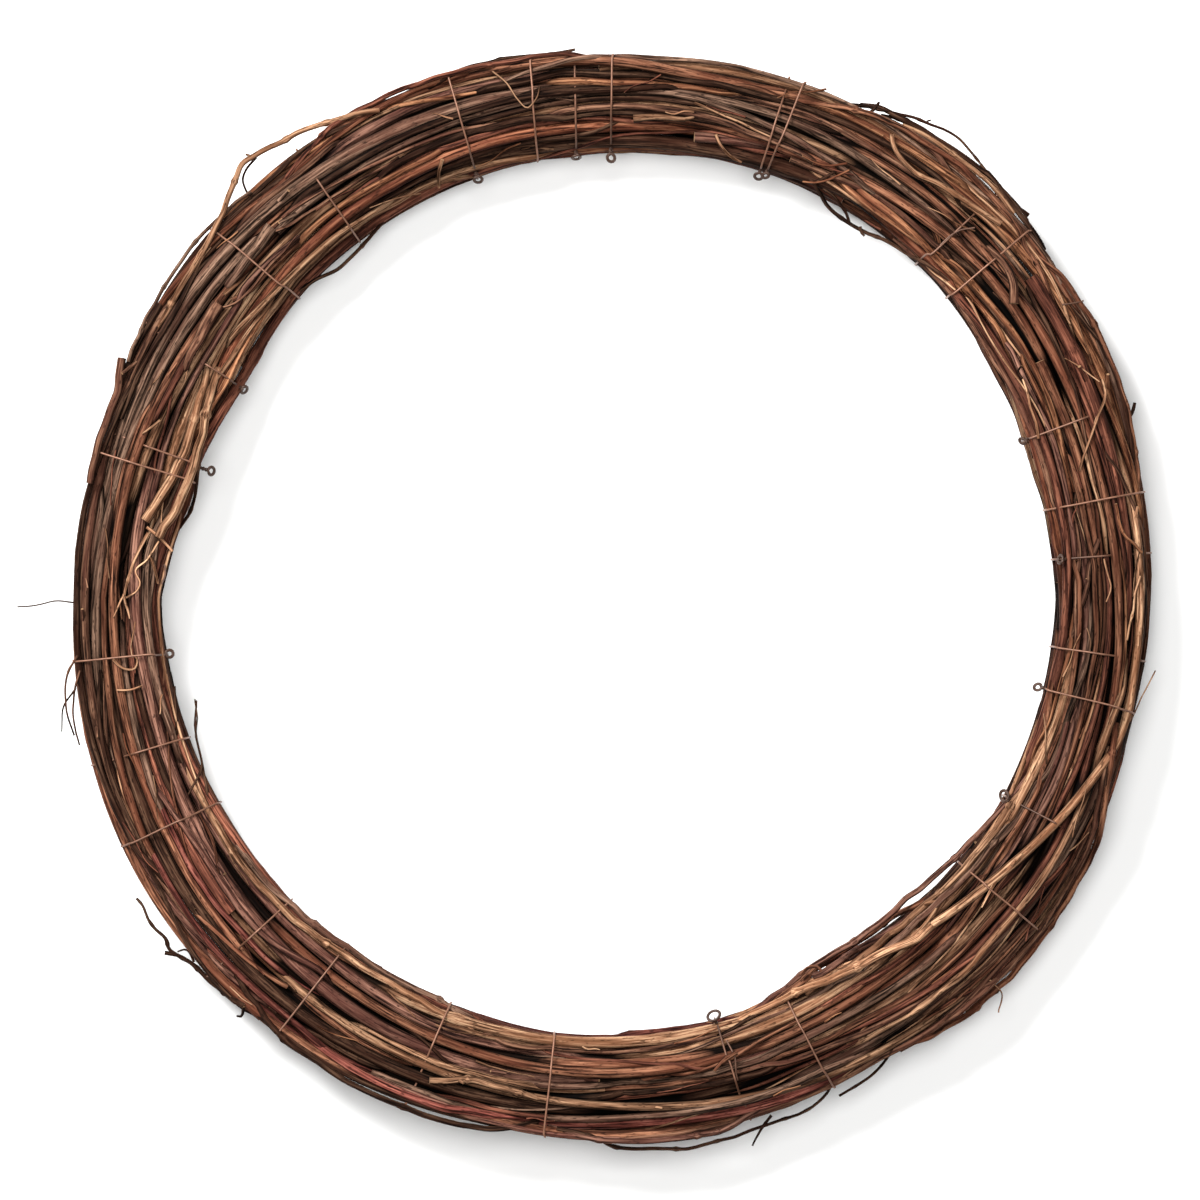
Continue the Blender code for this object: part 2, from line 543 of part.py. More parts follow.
def make_cane(cane):
    angles = [cane.first]
    angles += [s * STATION_STEP for s in cane.sections
               if cane.first + END_MARGIN < s * STATION_STEP < cane.last - END_MARGIN]
    angles.append(cane.last)
    bm = bmesh.new()
    rings = [[around(angle, *corner) for corner in section_at(cane, angle)]
             for angle in angles]
    tube(bm, rings)
    code, roughness = BARKS[cane.bark]
    made = finish(bm, cane.name, material(cane.name + "_bark", code, roughness, 0))
    spurs = make_spurs(cane)
    if len(spurs.objects):
        fuse(made, spurs)
    bpy.data.collections.remove(spurs)


def bundle_at(canes, angle):
    """Every corner of the canes that a tie at this angle holds."""
    outer, inner = band_at(angle)
    corners = []
    for cane in canes:
        for turned in (angle - 360, angle, angle + 360):
            if not cane.first <= turned <= cane.last:
                continue
            section = section_at(cane, turned)
            middle = section.mean(axis=0)
            if inner - LOOSE_BEYOND < middle[0] < outer + LOOSE_BEYOND:
                corners.append(section)
    return np.concatenate(corners)


def wire_path(canes, outside, inside):
    """Corners of the wire, from just above the hole side, over the front and round the back."""
    middle = (outside + inside) / 2
    swing = (outside - inside) / 2
    step = 360 / WIRE_CORNERS
    lines = []
    for i in range(WIRE_CORNERS + 1):
        turn = math.radians(180 - step * i)
        facing = np.array([math.cos(turn), math.sin(turn)])
        angle = middle + swing * math.cos(turn)
        reach = (bundle_at(canes, angle) @ facing).max() + WIRE_CLEARANCE + WIRE_RADIUS
        lines.append((facing, reach))
    points = []
    for i in range(WIRE_CORNERS):
        (one, far_one), (two, far_two) = lines[i], lines[i + 1]
        place = np.linalg.solve(np.array([one, two]), np.array([far_one, far_two]))
        turn = math.radians(180 - step * (i + 0.5))
        angle = middle + swing * math.cos(turn)
        points.append(np.array(around(angle, *place)))
    return points


def wire_rings(points, radius, closed, side):
    """Three-sided rings along a wire, each in the plane that halves its bend."""
    count = len(points)
    rings = []
    for i, point in enumerate(points):
        back = points[i - 1] if i or closed else point
        ahead = points[(i + 1) % count] if i < count - 1 or closed else point
        along = (ahead - back) / np.linalg.norm(ahead - back)
        side = side - along * (side @ along)
        side /= np.linalg.norm(side)
        other = np.cross(along, side)
        rings.append([point + radius * (math.cos(a) * side + math.sin(a) * other)
                      for a in (0, 2 * math.pi / 3, 4 * math.pi / 3)])
    return rings


def eye_points(neck, inward, sideways):
    """The wire's open ring at the hole side, which lies flat and starts beside the neck."""
    centre = neck + inward * (EYE_RADIUS + EYE_NECK)
    points = []
    for i in range(EYE_POINTS):
        turn = math.radians(EYE_OPENING + (360 - 2 * EYE_OPENING) * i / (EYE_POINTS - 1))
        points.append(centre - EYE_RADIUS * (math.cos(turn) * inward + math.sin(turn) * sideways))
    return points


def make_tie(index, canes, outside, inside, eye):
    points = wire_path(canes, outside, inside)
    inward = -np.array(around(inside, 1, 0))
    sideways = np.cross(inward, (0, 0, 1))
    if eye:
        closing = points[0] - points[-1]
        length = np.linalg.norm(closing)
        if length > WIRE_END_GAP:
            points.append(points[-1] + closing * (1 - WIRE_END_GAP / length))
        points = points[::-1] + eye_points(points[0], inward, sideways)
    bm = bmesh.new()
    tube(bm, wire_rings(points, WIRE_RADIUS, not eye, sideways), closed=not eye)
    look = material(f"wire_tie_{index:02d}_wire", WIRE_COLOUR, WIRE_ROUGHNESS, WIRE_METALLIC)
    finish(bm, f"wire_tie_{index:02d}", look)


for old in list(bpy.data.objects):
    bpy.data.objects.remove(old)

CANES = [front_cane(i, *row) for i, row in enumerate(FRONT_CANES, 1)]
CANES += [back_cane(i, *row) for i, row in enumerate(BACK_CANES, 1)]
CANES += [stray_cane(i, *row) for i, row in enumerate(STRAY_CANES, 1)]
lay_canes(CANES)
for laid in CANES:
    make_cane(laid)
for number, (outside, inside, eye) in enumerate(TIES, 1):
    make_tie(number, CANES, outside, inside, eye)
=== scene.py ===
import math

import bpy
import numpy as np
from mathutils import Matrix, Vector


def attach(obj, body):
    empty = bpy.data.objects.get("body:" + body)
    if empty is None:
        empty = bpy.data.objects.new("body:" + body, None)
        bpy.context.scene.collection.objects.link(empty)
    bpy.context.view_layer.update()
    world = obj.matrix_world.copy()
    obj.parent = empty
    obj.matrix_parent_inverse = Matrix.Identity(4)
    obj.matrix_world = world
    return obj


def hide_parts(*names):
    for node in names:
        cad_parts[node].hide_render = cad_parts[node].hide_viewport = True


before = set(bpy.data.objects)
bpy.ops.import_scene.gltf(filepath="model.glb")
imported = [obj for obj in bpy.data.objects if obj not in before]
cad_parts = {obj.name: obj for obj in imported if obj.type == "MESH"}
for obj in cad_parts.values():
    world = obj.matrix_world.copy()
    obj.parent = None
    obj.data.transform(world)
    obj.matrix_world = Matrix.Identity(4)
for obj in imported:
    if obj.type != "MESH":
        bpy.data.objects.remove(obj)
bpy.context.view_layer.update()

# The vine canes of the ring's heart and back
# Lengths of woody vine, cut green with their bark on and wound into a ring before they dried hard. They lie
# first and carry the rest. Each follows its CAD cane and gets back its round section, its knuckles, its
# stringy bark and its cut ends.
SEED = 4107
SLOT_STEP = 2.0
SLOTS = round(360 / SLOT_STEP)
SAME_PLANE = 0.04
CAD_SIDES = 5
ROUND_ENOUGH = 0.1
AXIS_STEP = 0.6
KNUCKLE_SPACING = (0.050, 0.115)
KNUCKLE_REACH = 0.0036
KNUCKLE_SWELL = (0.08, 0.24)
KINK = 0.00060
KINK_FADE = 0.012
SLIM_SHARE = 0.97
RIDGE_ROOM = 1.06
BENCH_GAP = 0.0001
TWIG_STEPS = 7
TWIG_TAPER = 0.35
COLLAR_SWELL = 0.5
COLLAR_FADE = 5
RING_SPACING = 0.0030
CANE_SIDES = 12
RIDGE = 0.13
RIDGE_LOBES = 1.5
RIDGE_CHANGES = 22.0
GRAIN_SHIFT = 1.37
RING_RADIUS = 0.2065
# Painted shade: the bark's tone is darkened in the heart, on the flanks of the canes and less so at the
# ring's open sides
UNSHADED_DEPTH = 0.0006
FULL_SHADE_DEPTH = 0.0027
PAINTED_SHADE = 2.1
PAINTED_FLANK_SHADE = 1.7
OPEN_SIDES = (0.010, 0.020)
EDGE_REACH = 0.010
EDGE_SHARE = 0.30
SHADE_REACH = 0.3
BACK_TONES = (-0.35, 0.2)
# Tone by angle round the ring, lighter or darker by region: angle and tone
TONE_BY_ANGLE = [
    (0, -0.4), (30, 0.1), (60, 0.14), (90, 0.32), (120, -0.1), (150, 0.06), (180, 0.04), (210, 0.54),
    (240, 0.08), (270, 0.28), (300, 0.06), (330, 0.02), (360, -0.4),
]
# Bark: the grain's dark, middle and pale colours, the colour of the patches, roughness
BARKS = {
    "olive_grey": ("#140d09", "#4f3a2e", "#846755", "#54362b", 0.84),
    "grey_brown": ("#150c09", "#513528", "#815e49", "#4f2f25", 0.85),
    "brown": ("#190d08", "#5d3a2a", "#91644b", "#552e20", 0.80),
    "light_brown": ("#27180f", "#70503b", "#ab8466", "#63402c", 0.80),
    "red_orange": ("#200e08", "#5f3524", "#8e5d44", "#48241a", 0.74),
    "orange_brown": ("#220f08", "#66402b", "#a07151", "#552e20", 0.74),
    "red": ("#1c0a07", "#61322a", "#8f584a", "#4c2620", 0.70),
    "red_brown": ("#190b08", "#593226", "#8a5743", "#42251c", 0.76),
    "violet_brown": ("#190d0b", "#583a2f", "#886252", "#4b2a23", 0.80),
    "tan": ("#332013", "#855e46", "#c29b79", "#6f4932", 0.80),
    "dark": ("#0c0604", "#2c1b13", "#4f392b", "#2c170f", 0.86),
}
STREAK = (0.0009, 0.020)
PATCH = (0.009, 0.060)
LONG_PATCH = (0.009, 0.096)
FLECK = (0.0007, 0.0032)
GROOVE = (0.0007, 0.020)
GRAIN_ROUGHNESS = 0.62
STREAK_STOPS = (0.385, 0.64, 0.50)
STREAK_RANGE = (0.3, 0.7)
GROOVE_ROUGHER = 0.10
RIDGE_SMOOTHER = 0.14
PATCH_RANGE = (0.47, 0.62, 0.0, 0.62)
FLECK_RANGE = (0.61, 0.70, 0.0, 0.75)
TONE_RANGE = (-1.0, 1.5, 0.03, 1.66)
RELIEF = 0.00030
CUT_WOOD = "#96724f"
PITH = "#6e4d32"

rng = np.random.default_rng(SEED)


def linear(code):
    parts = [int(code[i:i + 2], 16) / 255 for i in (1, 3, 5)]
    return [c / 12.92 if c <= 0.04045 else ((c + 0.055) / 1.055) ** 2.4 for c in parts] + [1.0]


def feed(tree, node, inputs):
    """Gives a node's inputs, named or in order, a value, an output, or another node's first output in use."""
    for key, value in inputs.items() if isinstance(inputs, dict) else enumerate(inputs):
        if isinstance(value, bpy.types.Node):
            value = next(output for output in value.outputs if output.enabled)
        if isinstance(value, bpy.types.NodeSocket):
            tree.links.new(value, node.inputs[key])
        else:
            node.inputs[key].default_value = value
    return node


def add(tree, kind, inputs=(), operation=None, **settings):
    """Adds a node, its kind named without the family, with its settings and links."""
    families = ("ShaderNode", "GeometryNode", "FunctionNode", "Node")
    node = tree.nodes.new(next(family + kind for family in families if hasattr(bpy.types, family + kind)))
    if operation:
        node.operation = operation
    for name, value in settings.items():
        setattr(node, name, value)
    return feed(tree, node, inputs)


def new_look(name):
    made = bpy.data.materials.new(name)
    made.use_nodes = True
    return made, made.node_tree, made.node_tree.nodes["Principled BSDF"]


def bark_look(name):
    """Dried vine bark: matt and stringy, streaked along the cane, redder or greyer in patches, flecked."""
    deep, main, bright, patch, rough = BARKS[name]
    made, tree, shader = new_look("dried vine bark, " + name.replace("_", " "))
    place = add(tree, "Attribute", attribute_name="straight").outputs["Vector"]

    def grain(size, detail):
        width, length = size
        scaled = add(tree, "Mapping", {"Vector": place, "Scale": (1 / width, 1 / width, 1 / length)})
        return add(tree, "TexNoise", {
            "Vector": scaled, "Scale": 1.0, "Detail": detail, "Roughness": GRAIN_ROUGHNESS})

    streaks = grain(STREAK, 4)
    ramp = add(tree, "ValToRGB", [streaks])
    stops = ramp.color_ramp.elements
    stops[0].position, stops[0].color = STREAK_STOPS[0], linear(deep)
    stops[1].position, stops[1].color = STREAK_STOPS[1], linear(bright)
    stops.new(STREAK_STOPS[2]).color = linear(main)
    patches = add(tree, "MapRange", [grain(PATCH, 2), *PATCH_RANGE])
    turned = add(tree, "Mix", {0: patches, 6: ramp, 7: linear(patch)}, data_type="RGBA")
    flecks = add(tree, "MapRange", [grain(FLECK, 1), *FLECK_RANGE])
    flecked = add(tree, "Mix", {0: flecks, 6: turned, 7: linear(deep)}, data_type="RGBA")
    # The tone attribute carries painted shade: darker under covering canes and on the canes' flanks
    given_tone = add(tree, "Attribute", attribute_name="tone").outputs["Fac"]
    tone_with_shade = add(tree, "Math", [grain(LONG_PATCH, 1), given_tone], "ADD")
    tone = add(tree, "MapRange", [tone_with_shade, *TONE_RANGE])
    toned = add(tree, "HueSaturation", {"Value": tone, "Color": flecked})
    roughness = add(tree, "MapRange", [
        streaks, *STREAK_RANGE, min(rough + GROOVE_ROUGHER, 1), rough - RIDGE_SMOOTHER])
    relief = add(tree, "Math", [streaks, grain(GROOVE, 2)], "ADD")
    bump = add(tree, "Bump", {"Strength": 0.8, "Distance": RELIEF, "Height": relief})
    feed(tree, shader, {
        "Base Color": toned, "Roughness": roughness, "Specular IOR Level": 0.04, "Normal": bump})
    return made


def cut_wood_look():
    """Vine wood sawn or snipped across: pale, dry and matt, with a darker soft middle."""
    made, tree, shader = new_look("cut vine wood")
    place = add(tree, "TexCoord").outputs["Object"]
    speckle = add(tree, "TexNoise", {"Vector": place, "Scale": 1800.0, "Detail": 2.0})
    wood = add(tree, "Mix", {0: speckle, 6: linear(PITH), 7: linear(CUT_WOOD)}, data_type="RGBA")
    feed(tree, shader, {"Base Color": wood, "Roughness": 0.9})
    return made


bark_looks = {name: bark_look(name) for name in BARKS}
cut_wood = cut_wood_look()


def new_tree(name, sockets):
    """A node group with named inputs: the group, the inputs' identifiers and the values that they give."""
    tree = bpy.data.node_groups.new(name, "GeometryNodeTree")
    panel = tree.interface
    named = {label: panel.new_socket(label, in_out="INPUT", socket_type="NodeSocket" + kind).identifier
             for label, kind in sockets.items()}
    panel.new_socket("Skinned", in_out="OUTPUT", socket_type="NodeSocketGeometry")
    return tree, named, add(tree, "GroupInput").outputs


def rings_and_circle(tree, given):
    """Cuts every run into rings, and gives them a circle to sweep along them."""
    lines = add(tree, "MeshToCurve", [given["Runs"]])
    rings = add(tree, "ResampleCurve", {"Curve": lines, "Length": given["Ring spacing"]}, mode="LENGTH")
    return rings, add(tree, "CurvePrimitiveCircle", {"Resolution": given["Sides"], "Radius": 1.0})


# The tree skins every run of points with bark: rings along it, ridges down it and a cut face at each end
tree, cane_inputs, given = new_tree("wound cane", {
    "Runs": "Geometry", "Ring spacing": "Float", "Sides": "Int", "Ridge": "Float", "Painted flank shade": "Float",
    "Ring radius": "Float", "Seed": "Float", "Bark": "Material", "Cut wood": "Material"})
cane_tree = tree
rings, circle = rings_and_circle(tree, given)
thick, shift, turned, run_on, tone_with_shade = [add(tree, "InputNamedAttribute", {"Name": name})
                                      for name in ("thick", "shift", "turn", "along", "tone")]
far = add(tree, "SplineParameter").outputs["Length"]
along = add(tree, "Math", [far, shift], "ADD")
measured = add(tree, "StoreNamedAttribute", {"Geometry": rings, "Name": "along", "Value": along})
part_round = add(tree, "SplineParameter").outputs["Factor"]
turn = add(tree, "Math", [part_round, 2 * math.pi], "MULTIPLY")
marked = add(tree, "StoreNamedAttribute", {"Geometry": circle, "Name": "turn", "Value": turn})
skin = add(tree, "CurveToMesh", {
    "Curve": measured, "Profile Curve": marked, "Scale": thick, "Fill Caps": True})
across = add(tree, "Math", [turned], "COSINE")
upward = add(tree, "Math", [turned], "SINE")
flat = add(tree, "CombineXYZ", [across, upward])
sized = add(tree, "VectorMath", {0: flat, "Scale": thick}, "SCALE")
lengthwise = add(tree, "CombineXYZ", {"Z": run_on})
unwound = add(tree, "VectorMath", [sized, lengthwise], "ADD")
kept = add(tree, "StoreNamedAttribute", {
    "Geometry": skin, "Name": "straight", "Value": unwound}, data_type="FLOAT_VECTOR")
stretched = add(tree, "VectorMath", {0: lengthwise, "Scale": RIDGE_CHANGES}, "SCALE")
lobes = add(tree, "VectorMath", {0: flat, "Scale": RIDGE_LOBES}, "SCALE")
ridge_place = add(tree, "VectorMath", [lobes, stretched], "ADD")
ridges = add(tree, "TexNoise", {
    "Vector": ridge_place, "W": given["Seed"], "Scale": 1.0, "Detail": 2.0}, noise_dimensions="4D")
centred = add(tree, "Math", [ridges, 0.5], "SUBTRACT")
raised = add(tree, "Math", [centred, given["Ridge"]], "MULTIPLY")
height = add(tree, "Math", [raised, thick], "MULTIPLY")
facing = add(tree, "InputNormal")
offset = add(tree, "VectorMath", {0: facing, "Scale": height}, "SCALE")
ridged = add(tree, "SetPosition", {"Geometry": kept, "Offset": offset})
# Painted shade on the flanks: the tone is lowered where the bark faces neither up or down nor, near the
# ring's edges, out of its side
upright = add(tree, "SeparateXYZ", [facing]).outputs["Z"]
steep = add(tree, "Math", [upright], "ABSOLUTE")
spot = add(tree, "InputPosition")
level = add(tree, "VectorMath", [spot, (1, 1, 0)], "MULTIPLY")
reach = add(tree, "VectorMath", [level], "LENGTH")
off_middle = add(tree, "Math", [reach, given["Ring radius"]], "SUBTRACT")
from_middle = add(tree, "Math", [off_middle], "ABSOLUTE")
at_side = add(tree, "MapRange", [from_middle, *OPEN_SIDES])
spoke = add(tree, "VectorMath", [level], "NORMALIZE")
sidelong = add(tree, "VectorMath", [facing, spoke], "DOT_PRODUCT")
turned_out = add(tree, "Math", [sidelong], "ABSOLUTE")
open_side = add(tree, "Math", [turned_out, at_side], "MULTIPLY")
lit = add(tree, "Math", [steep, open_side], "MAXIMUM")
flank = add(tree, "Math", [1.0, lit], "SUBTRACT")
shaded = add(tree, "Math", [flank, given["Painted flank shade"]], "MULTIPLY")
dimmed = add(tree, "Math", [tone_with_shade, shaded], "SUBTRACT")
toned = add(tree, "StoreNamedAttribute", {"Geometry": ridged, "Name": "tone", "Value": dimmed})
corners = add(tree, "InputMeshFaceNeighbors").outputs["Vertex Count"]
is_cut, is_bark = [add(tree, "Compare", {2: corners, 3: 4}, test, data_type="INT")
                   for test in ("GREATER_THAN", "LESS_EQUAL")]
smooth = add(tree, "SetShadeSmooth", {"Geometry": toned, "Shade Smooth": is_bark})
real = add(tree, "RealizeInstances", [smooth])
barked = add(tree, "SetMaterial", {"Geometry": real, "Material": given["Bark"]})
ended = add(tree, "SetMaterial", {
    "Geometry": barked, "Selection": is_cut, "Material": given["Cut wood"]})
add(tree, "GroupOutput", [ended])


def around(angle, radius, height):
    turn = np.radians(angle)
    return np.stack([radius * np.cos(turn), radius * np.sin(turn), height + 0 * turn], axis=-1)


def eased(at, knots, values):
    """A smooth curve through the values at the knots."""
    slopes = np.gradient(values, knots, axis=0)
    i = np.clip(np.searchsorted(knots, at, side="right") - 1, 0, len(knots) - 2)
    wide = knots[i + 1] - knots[i]
    t = (at - knots[i]) / wide
    if values.ndim > 1:
        t, wide = t[:, None], wide[:, None]
    return ((2 * t ** 3 - 3 * t ** 2 + 1) * values[i] + (t ** 3 - 2 * t ** 2 + t) * wide * slopes[i]
            + (3 * t ** 2 - 2 * t ** 3) * values[i + 1] + (t ** 3 - t ** 2) * wide * slopes[i + 1])


def levelled(values, reach):
    """The running mean with this many neighbours on each side."""
    width = 2 * reach + 1
    return np.convolve(np.pad(values, reach, mode="edge"), np.full(width, 1 / width), mode="valid")


def run_of(node):
    """Angles along the ring, the axis's radius and height, and thickness, at a CAD cane's sections."""
    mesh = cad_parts[node].data
    spots = np.zeros(len(mesh.vertices) * 3)
    mesh.vertices.foreach_get("co", spots)
    spots = np.unique(spots.reshape(-1, 3).round(6), axis=0)
    angle = (np.degrees(np.arctan2(spots[:, 1], spots[:, 0])) + 1) % 360 - 1
    order = np.argsort(angle)
    spots, angle = spots[order], angle[order]
    cuts = np.flatnonzero(np.diff(angle) > SAME_PLANE) + 1
    rows = []
    for plane, turns in zip(np.split(spots, cuts), np.split(angle, cuts)):
        if len(plane) != CAD_SIDES:
            continue
        reach = np.hypot(plane[:, 0], plane[:, 1])
        spokes = np.hypot(reach - reach.mean(), plane[:, 2] - plane[:, 2].mean())
        if np.ptp(spokes) < ROUND_ENOUGH * spokes.mean():
            rows.append((turns.mean(), reach.mean(), plane[:, 2].mean(), spokes.mean()))
    rows = np.array(rows)
    gaps = np.diff(np.append(rows[:, 0], rows[0, 0] + 360))
    start = (int(np.argmax(gaps)) + 1) % len(rows)
    rows = np.roll(rows, -start, axis=0)
    rows[:, 0] = np.where(rows[:, 0] < rows[0, 0], rows[:, 0] + 360, rows[:, 0])
    return {"angle": rows[:, 0], "spots": rows[:, 1:3], "thick": rows[:, 3]}


def circles_at(angle, runs):
    """Radius and height of the axis, and thickness, of every run that passes an angle."""
    found = []
    for run in runs:
        for turned in (angle - 360, angle, angle + 360, angle + 720):
            if run["angle"][0] <= turned <= run["angle"][-1]:
                spot = [np.interp(turned, run["angle"], run["spots"][:, side]) for side in (0, 1)]
                found.append((*spot, np.interp(turned, run["angle"], run["thick"])))
    return np.array(found)


def tops_of(circles, reaches, thick=0.0):
    """How high the bundle, or a vine of this thickness that rests on it, stands at each of these radii."""
    room = (circles[:, 2, None] + thick) ** 2 - (circles[:, 0, None] - reaches) ** 2
    return np.where(room > 0, circles[:, 1, None] + np.sqrt(np.maximum(room, 0)), 0).max(axis=0)


runs = {node: run_of(node) for node in sorted(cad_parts) if "cane" in node}
laid = [run for node, run in runs.items() if "stray" not in node]
bundle = [circles_at(slot * SLOT_STEP, laid) for slot in range(SLOTS)]
bundle_outer = np.array([(circles[:, 0] + circles[:, 2]).max() for circles in bundle])
bundle_inner = np.array([(circles[:, 0] - circles[:, 2]).min() for circles in bundle])
shift_so_far = 0.0


def new_chain(points, thick, tone):
    """A run of points to be skinned, with a stretch of the bark's grain of its own."""
    global shift_so_far
    chain = {"points": points, "thick": thick, "tone": tone, "shift": np.full(len(points), shift_so_far)}
    shift_so_far += GRAIN_SHIFT
    return chain


def painted_shade_of(at, spots, radius):
    """Painted shade: darker bark where other canes cover it and shade falls, less so near the bundle's edges.
    """
    darker = []
    for angle, (reach, height), thick in zip(at, spots, radius):
        slot = round(angle / SLOT_STEP) % SLOTS
        top = tops_of(bundle[slot], [reach], SHADE_REACH * thick)[0]
        edge = min(bundle_outer[slot] - reach, reach - bundle_inner[slot])
        shut = np.interp(edge - thick, (0, EDGE_REACH), (EDGE_SHARE, 1))
        darker.append(shut * np.clip((top - height - thick - UNSHADED_DEPTH) / FULL_SHADE_DEPTH, 0, 1))
    return -PAINTED_SHADE * levelled(darker, 2)


def chain_of(run, tone, kink=KINK, spacing=KNUCKLE_SPACING, step=AXIS_STEP):
    """The run's axis at close steps, with its knuckles and slight kinks, for the tree to skin."""
    first, last = run["angle"][0], run["angle"][-1]
    at = np.linspace(first, last, max(int((last - first) / step), 3))
    spots = eased(at, run["angle"], run["spots"])
    radius = np.interp(at, run["angle"], run["thick"])
    gone = np.concatenate([[0], np.cumsum(np.radians(np.diff(at)) * spots[1:, 0])])
    knots = [-rng.uniform(0, spacing[1])]
    while knots[-1] < gone[-1]:
        knots.append(knots[-1] + rng.uniform(*spacing))
    swell = np.zeros(len(at))
    for knot in knots:
        swell += rng.uniform(*KNUCKLE_SWELL) * np.exp(-((gone - knot) / KNUCKLE_REACH) ** 2)
    bends = rng.uniform(-kink, kink, (len(knots), 2))
    fade = np.clip(np.minimum(gone, gone[-1] - gone) / KINK_FADE, 0, 1)
    for side in (0, 1):
        spots[:, side] += fade * np.interp(gone, knots, bends[:, side])
    radius = radius * (SLIM_SHARE + swell)
    spots[:, 1] = np.maximum(spots[:, 1], RIDGE_ROOM * radius + BENCH_GAP)
    if isinstance(tone, list):
        tone = np.interp(at, *np.transpose(tone))
    # Painted shade under the covering canes lowers the tone, and the tone by angle round the ring is added
    tone = tone + np.interp(at % 360, *np.transpose(TONE_BY_ANGLE)) + painted_shade_of(at, spots, radius)
    return new_chain(around(at, spots[:, 0], spots[:, 1]), radius, tone)


def twig_from(root, heading, length, thick, tone):
    """A side twig's run of points, from inside the cane it grows on out to its cut tip."""
    part = np.linspace(0, 1, TWIG_STEPS)
    points = np.array(root) + np.outer(part * length, np.array(heading) / np.linalg.norm(heading))
    tapered = thick * (1 - TWIG_TAPER * part + COLLAR_SWELL * np.exp(-(part * COLLAR_FADE) ** 2))
    return new_chain(points, tapered, np.full(len(part), tone))


def placed(name, data):
    made = bpy.data.objects.new(name, data)
    bpy.context.scene.collection.objects.link(made)
    return made


def wind(name, chains, tree, named, values):
    """Skins the chains by the tree into one plain mesh, in its place, that rides on the wreath."""
    mesh = bpy.data.meshes.new(name)
    edges = []
    start = 0
    for chain in chains:
        edges += [(start + i, start + i + 1) for i in range(len(chain["points"]) - 1)]
        start += len(chain["points"])
    mesh.from_pydata(np.concatenate([chain["points"] for chain in chains]).tolist(), edges, [])
    for key in ("thick", "tone", "shift"):
        numbers = np.concatenate([chain[key] for chain in chains]).astype(np.float32)
        mesh.attributes.new(key, "FLOAT", "POINT").data.foreach_set("value", numbers)
    piece = placed(name, mesh)
    skin_on = piece.modifiers.new("skin", "NODES")
    skin_on.node_group = tree
    for label, value in values.items():
        skin_on[named[label]] = value
    bpy.context.view_layer.update()
    graph = bpy.context.evaluated_depsgraph_get()
    skinned = bpy.data.meshes.new_from_object(piece.evaluated_get(graph))
    piece.modifiers.remove(skin_on)
    piece.data = skinned
    skinned.name = name
    bpy.data.meshes.remove(mesh)
    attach(piece, "root")
    return piece


def wind_cane(name, chains, bark, spacing=RING_SPACING, sides=CANE_SIDES):
    piece = wind(name, chains, cane_tree, cane_inputs, {
        "Ring spacing": spacing, "Sides": sides, "Ridge": RIDGE, "Painted flank shade": PAINTED_FLANK_SHADE,
        "Ring radius": RING_RADIUS, "Seed": float(rng.uniform(0, 50)), "Bark": bark_looks[bark],
        "Cut wood": cut_wood})
    return piece


BACK_BARKS = ["grey_brown", "brown", "violet_brown", "grey_brown", "violet_brown", "brown", "grey_brown",
              "red_brown", "brown", "violet_brown", "olive_grey", "light_brown", "brown", "grey_brown"]
for number, bark in enumerate(BACK_BARKS, 1):
    node = f"back_cane_{number:02d}"
    cane = wind_cane("dressed_" + node, [chain_of(runs[node], rng.uniform(*BACK_TONES))], bark)
    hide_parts(node)

# The front canes
# The stoutest and last wound canes, which a buyer sees: each lies where the photograph shows it, over and
# under its neighbours. Side twigs were snipped off short when the vine was stripped, and leave stubs.
# Bark and tone of each cane, the tone of some by angle
FRONT_BARKS = [
    ("olive_grey", 0.4), ("red_orange", 0.2),
    ("tan", [(0, 0.3), (180, 0.2), (200, -0.3), (285, -0.3), (300, 0.5), (330, 0.4), (400, -0.4)]),
    ("brown", 0.2), ("violet_brown", 0.1), ("red_brown", 0.5), ("red", 0.45), ("tan", 0.6),
    ("violet_brown", 0.2), ("brown", 0.2), ("red_brown", 0.2), ("orange_brown", 0.2), ("brown", 0.2),
    ("dark", 0.3), ("light_brown", [(0, 0.1), (240, 0.1), (262, -0.3), (330, -0.1), (420, 0.1)]),
    ("olive_grey", 0.1), ("brown", 0.15),
    ("tan", [(180, -0.2), (285, -0.1), (300, 0.9), (325, 0.8), (400, 0)]),
    ("grey_brown", [(60, 0.1), (175, 0), (186, -0.5), (200, -0.4), (214, -0.1), (400, 0.1)]),
    ("red_brown", -0.1),
]
# Stub: cane, angle, lean off the cane's run (over 90 leans back), clock angle, length, thickness
FRONT_STUBS = [
    (8, 326, 35, 80, 0.005, 0.0018), (16, 129, 32, 75, 0.008, 0.002), (15, 250.5, 35, 80, 0.0075, 0.002),
    (11, 384, 38, 95, 0.0065, 0.0022), (1, 131, 145, 85, 0.006, 0.0022), (5, 213, 40, 95, 0.006, 0.0022),
    (19, 153.5, 40, 60, 0.0065, 0.0018), (12, 22.5, 45, 70, 0.006, 0.002),
]
# Snags, thin broken ends besides: how many on a cane, lean, how far some lean back, clock angle, length,
# thickness and how much paler
SNAGS = (2, 6)
SNAG_LEANS = (14, 40)
LEAN_BACK = 130
SNAG_CLOCKS = (55, 125)
SNAG_LENGTHS = (0.001, 0.006)
SNAG_THICK = (0.0009, 0.0018)
SNAG_PALER = 0.5
END_ROOM = 2


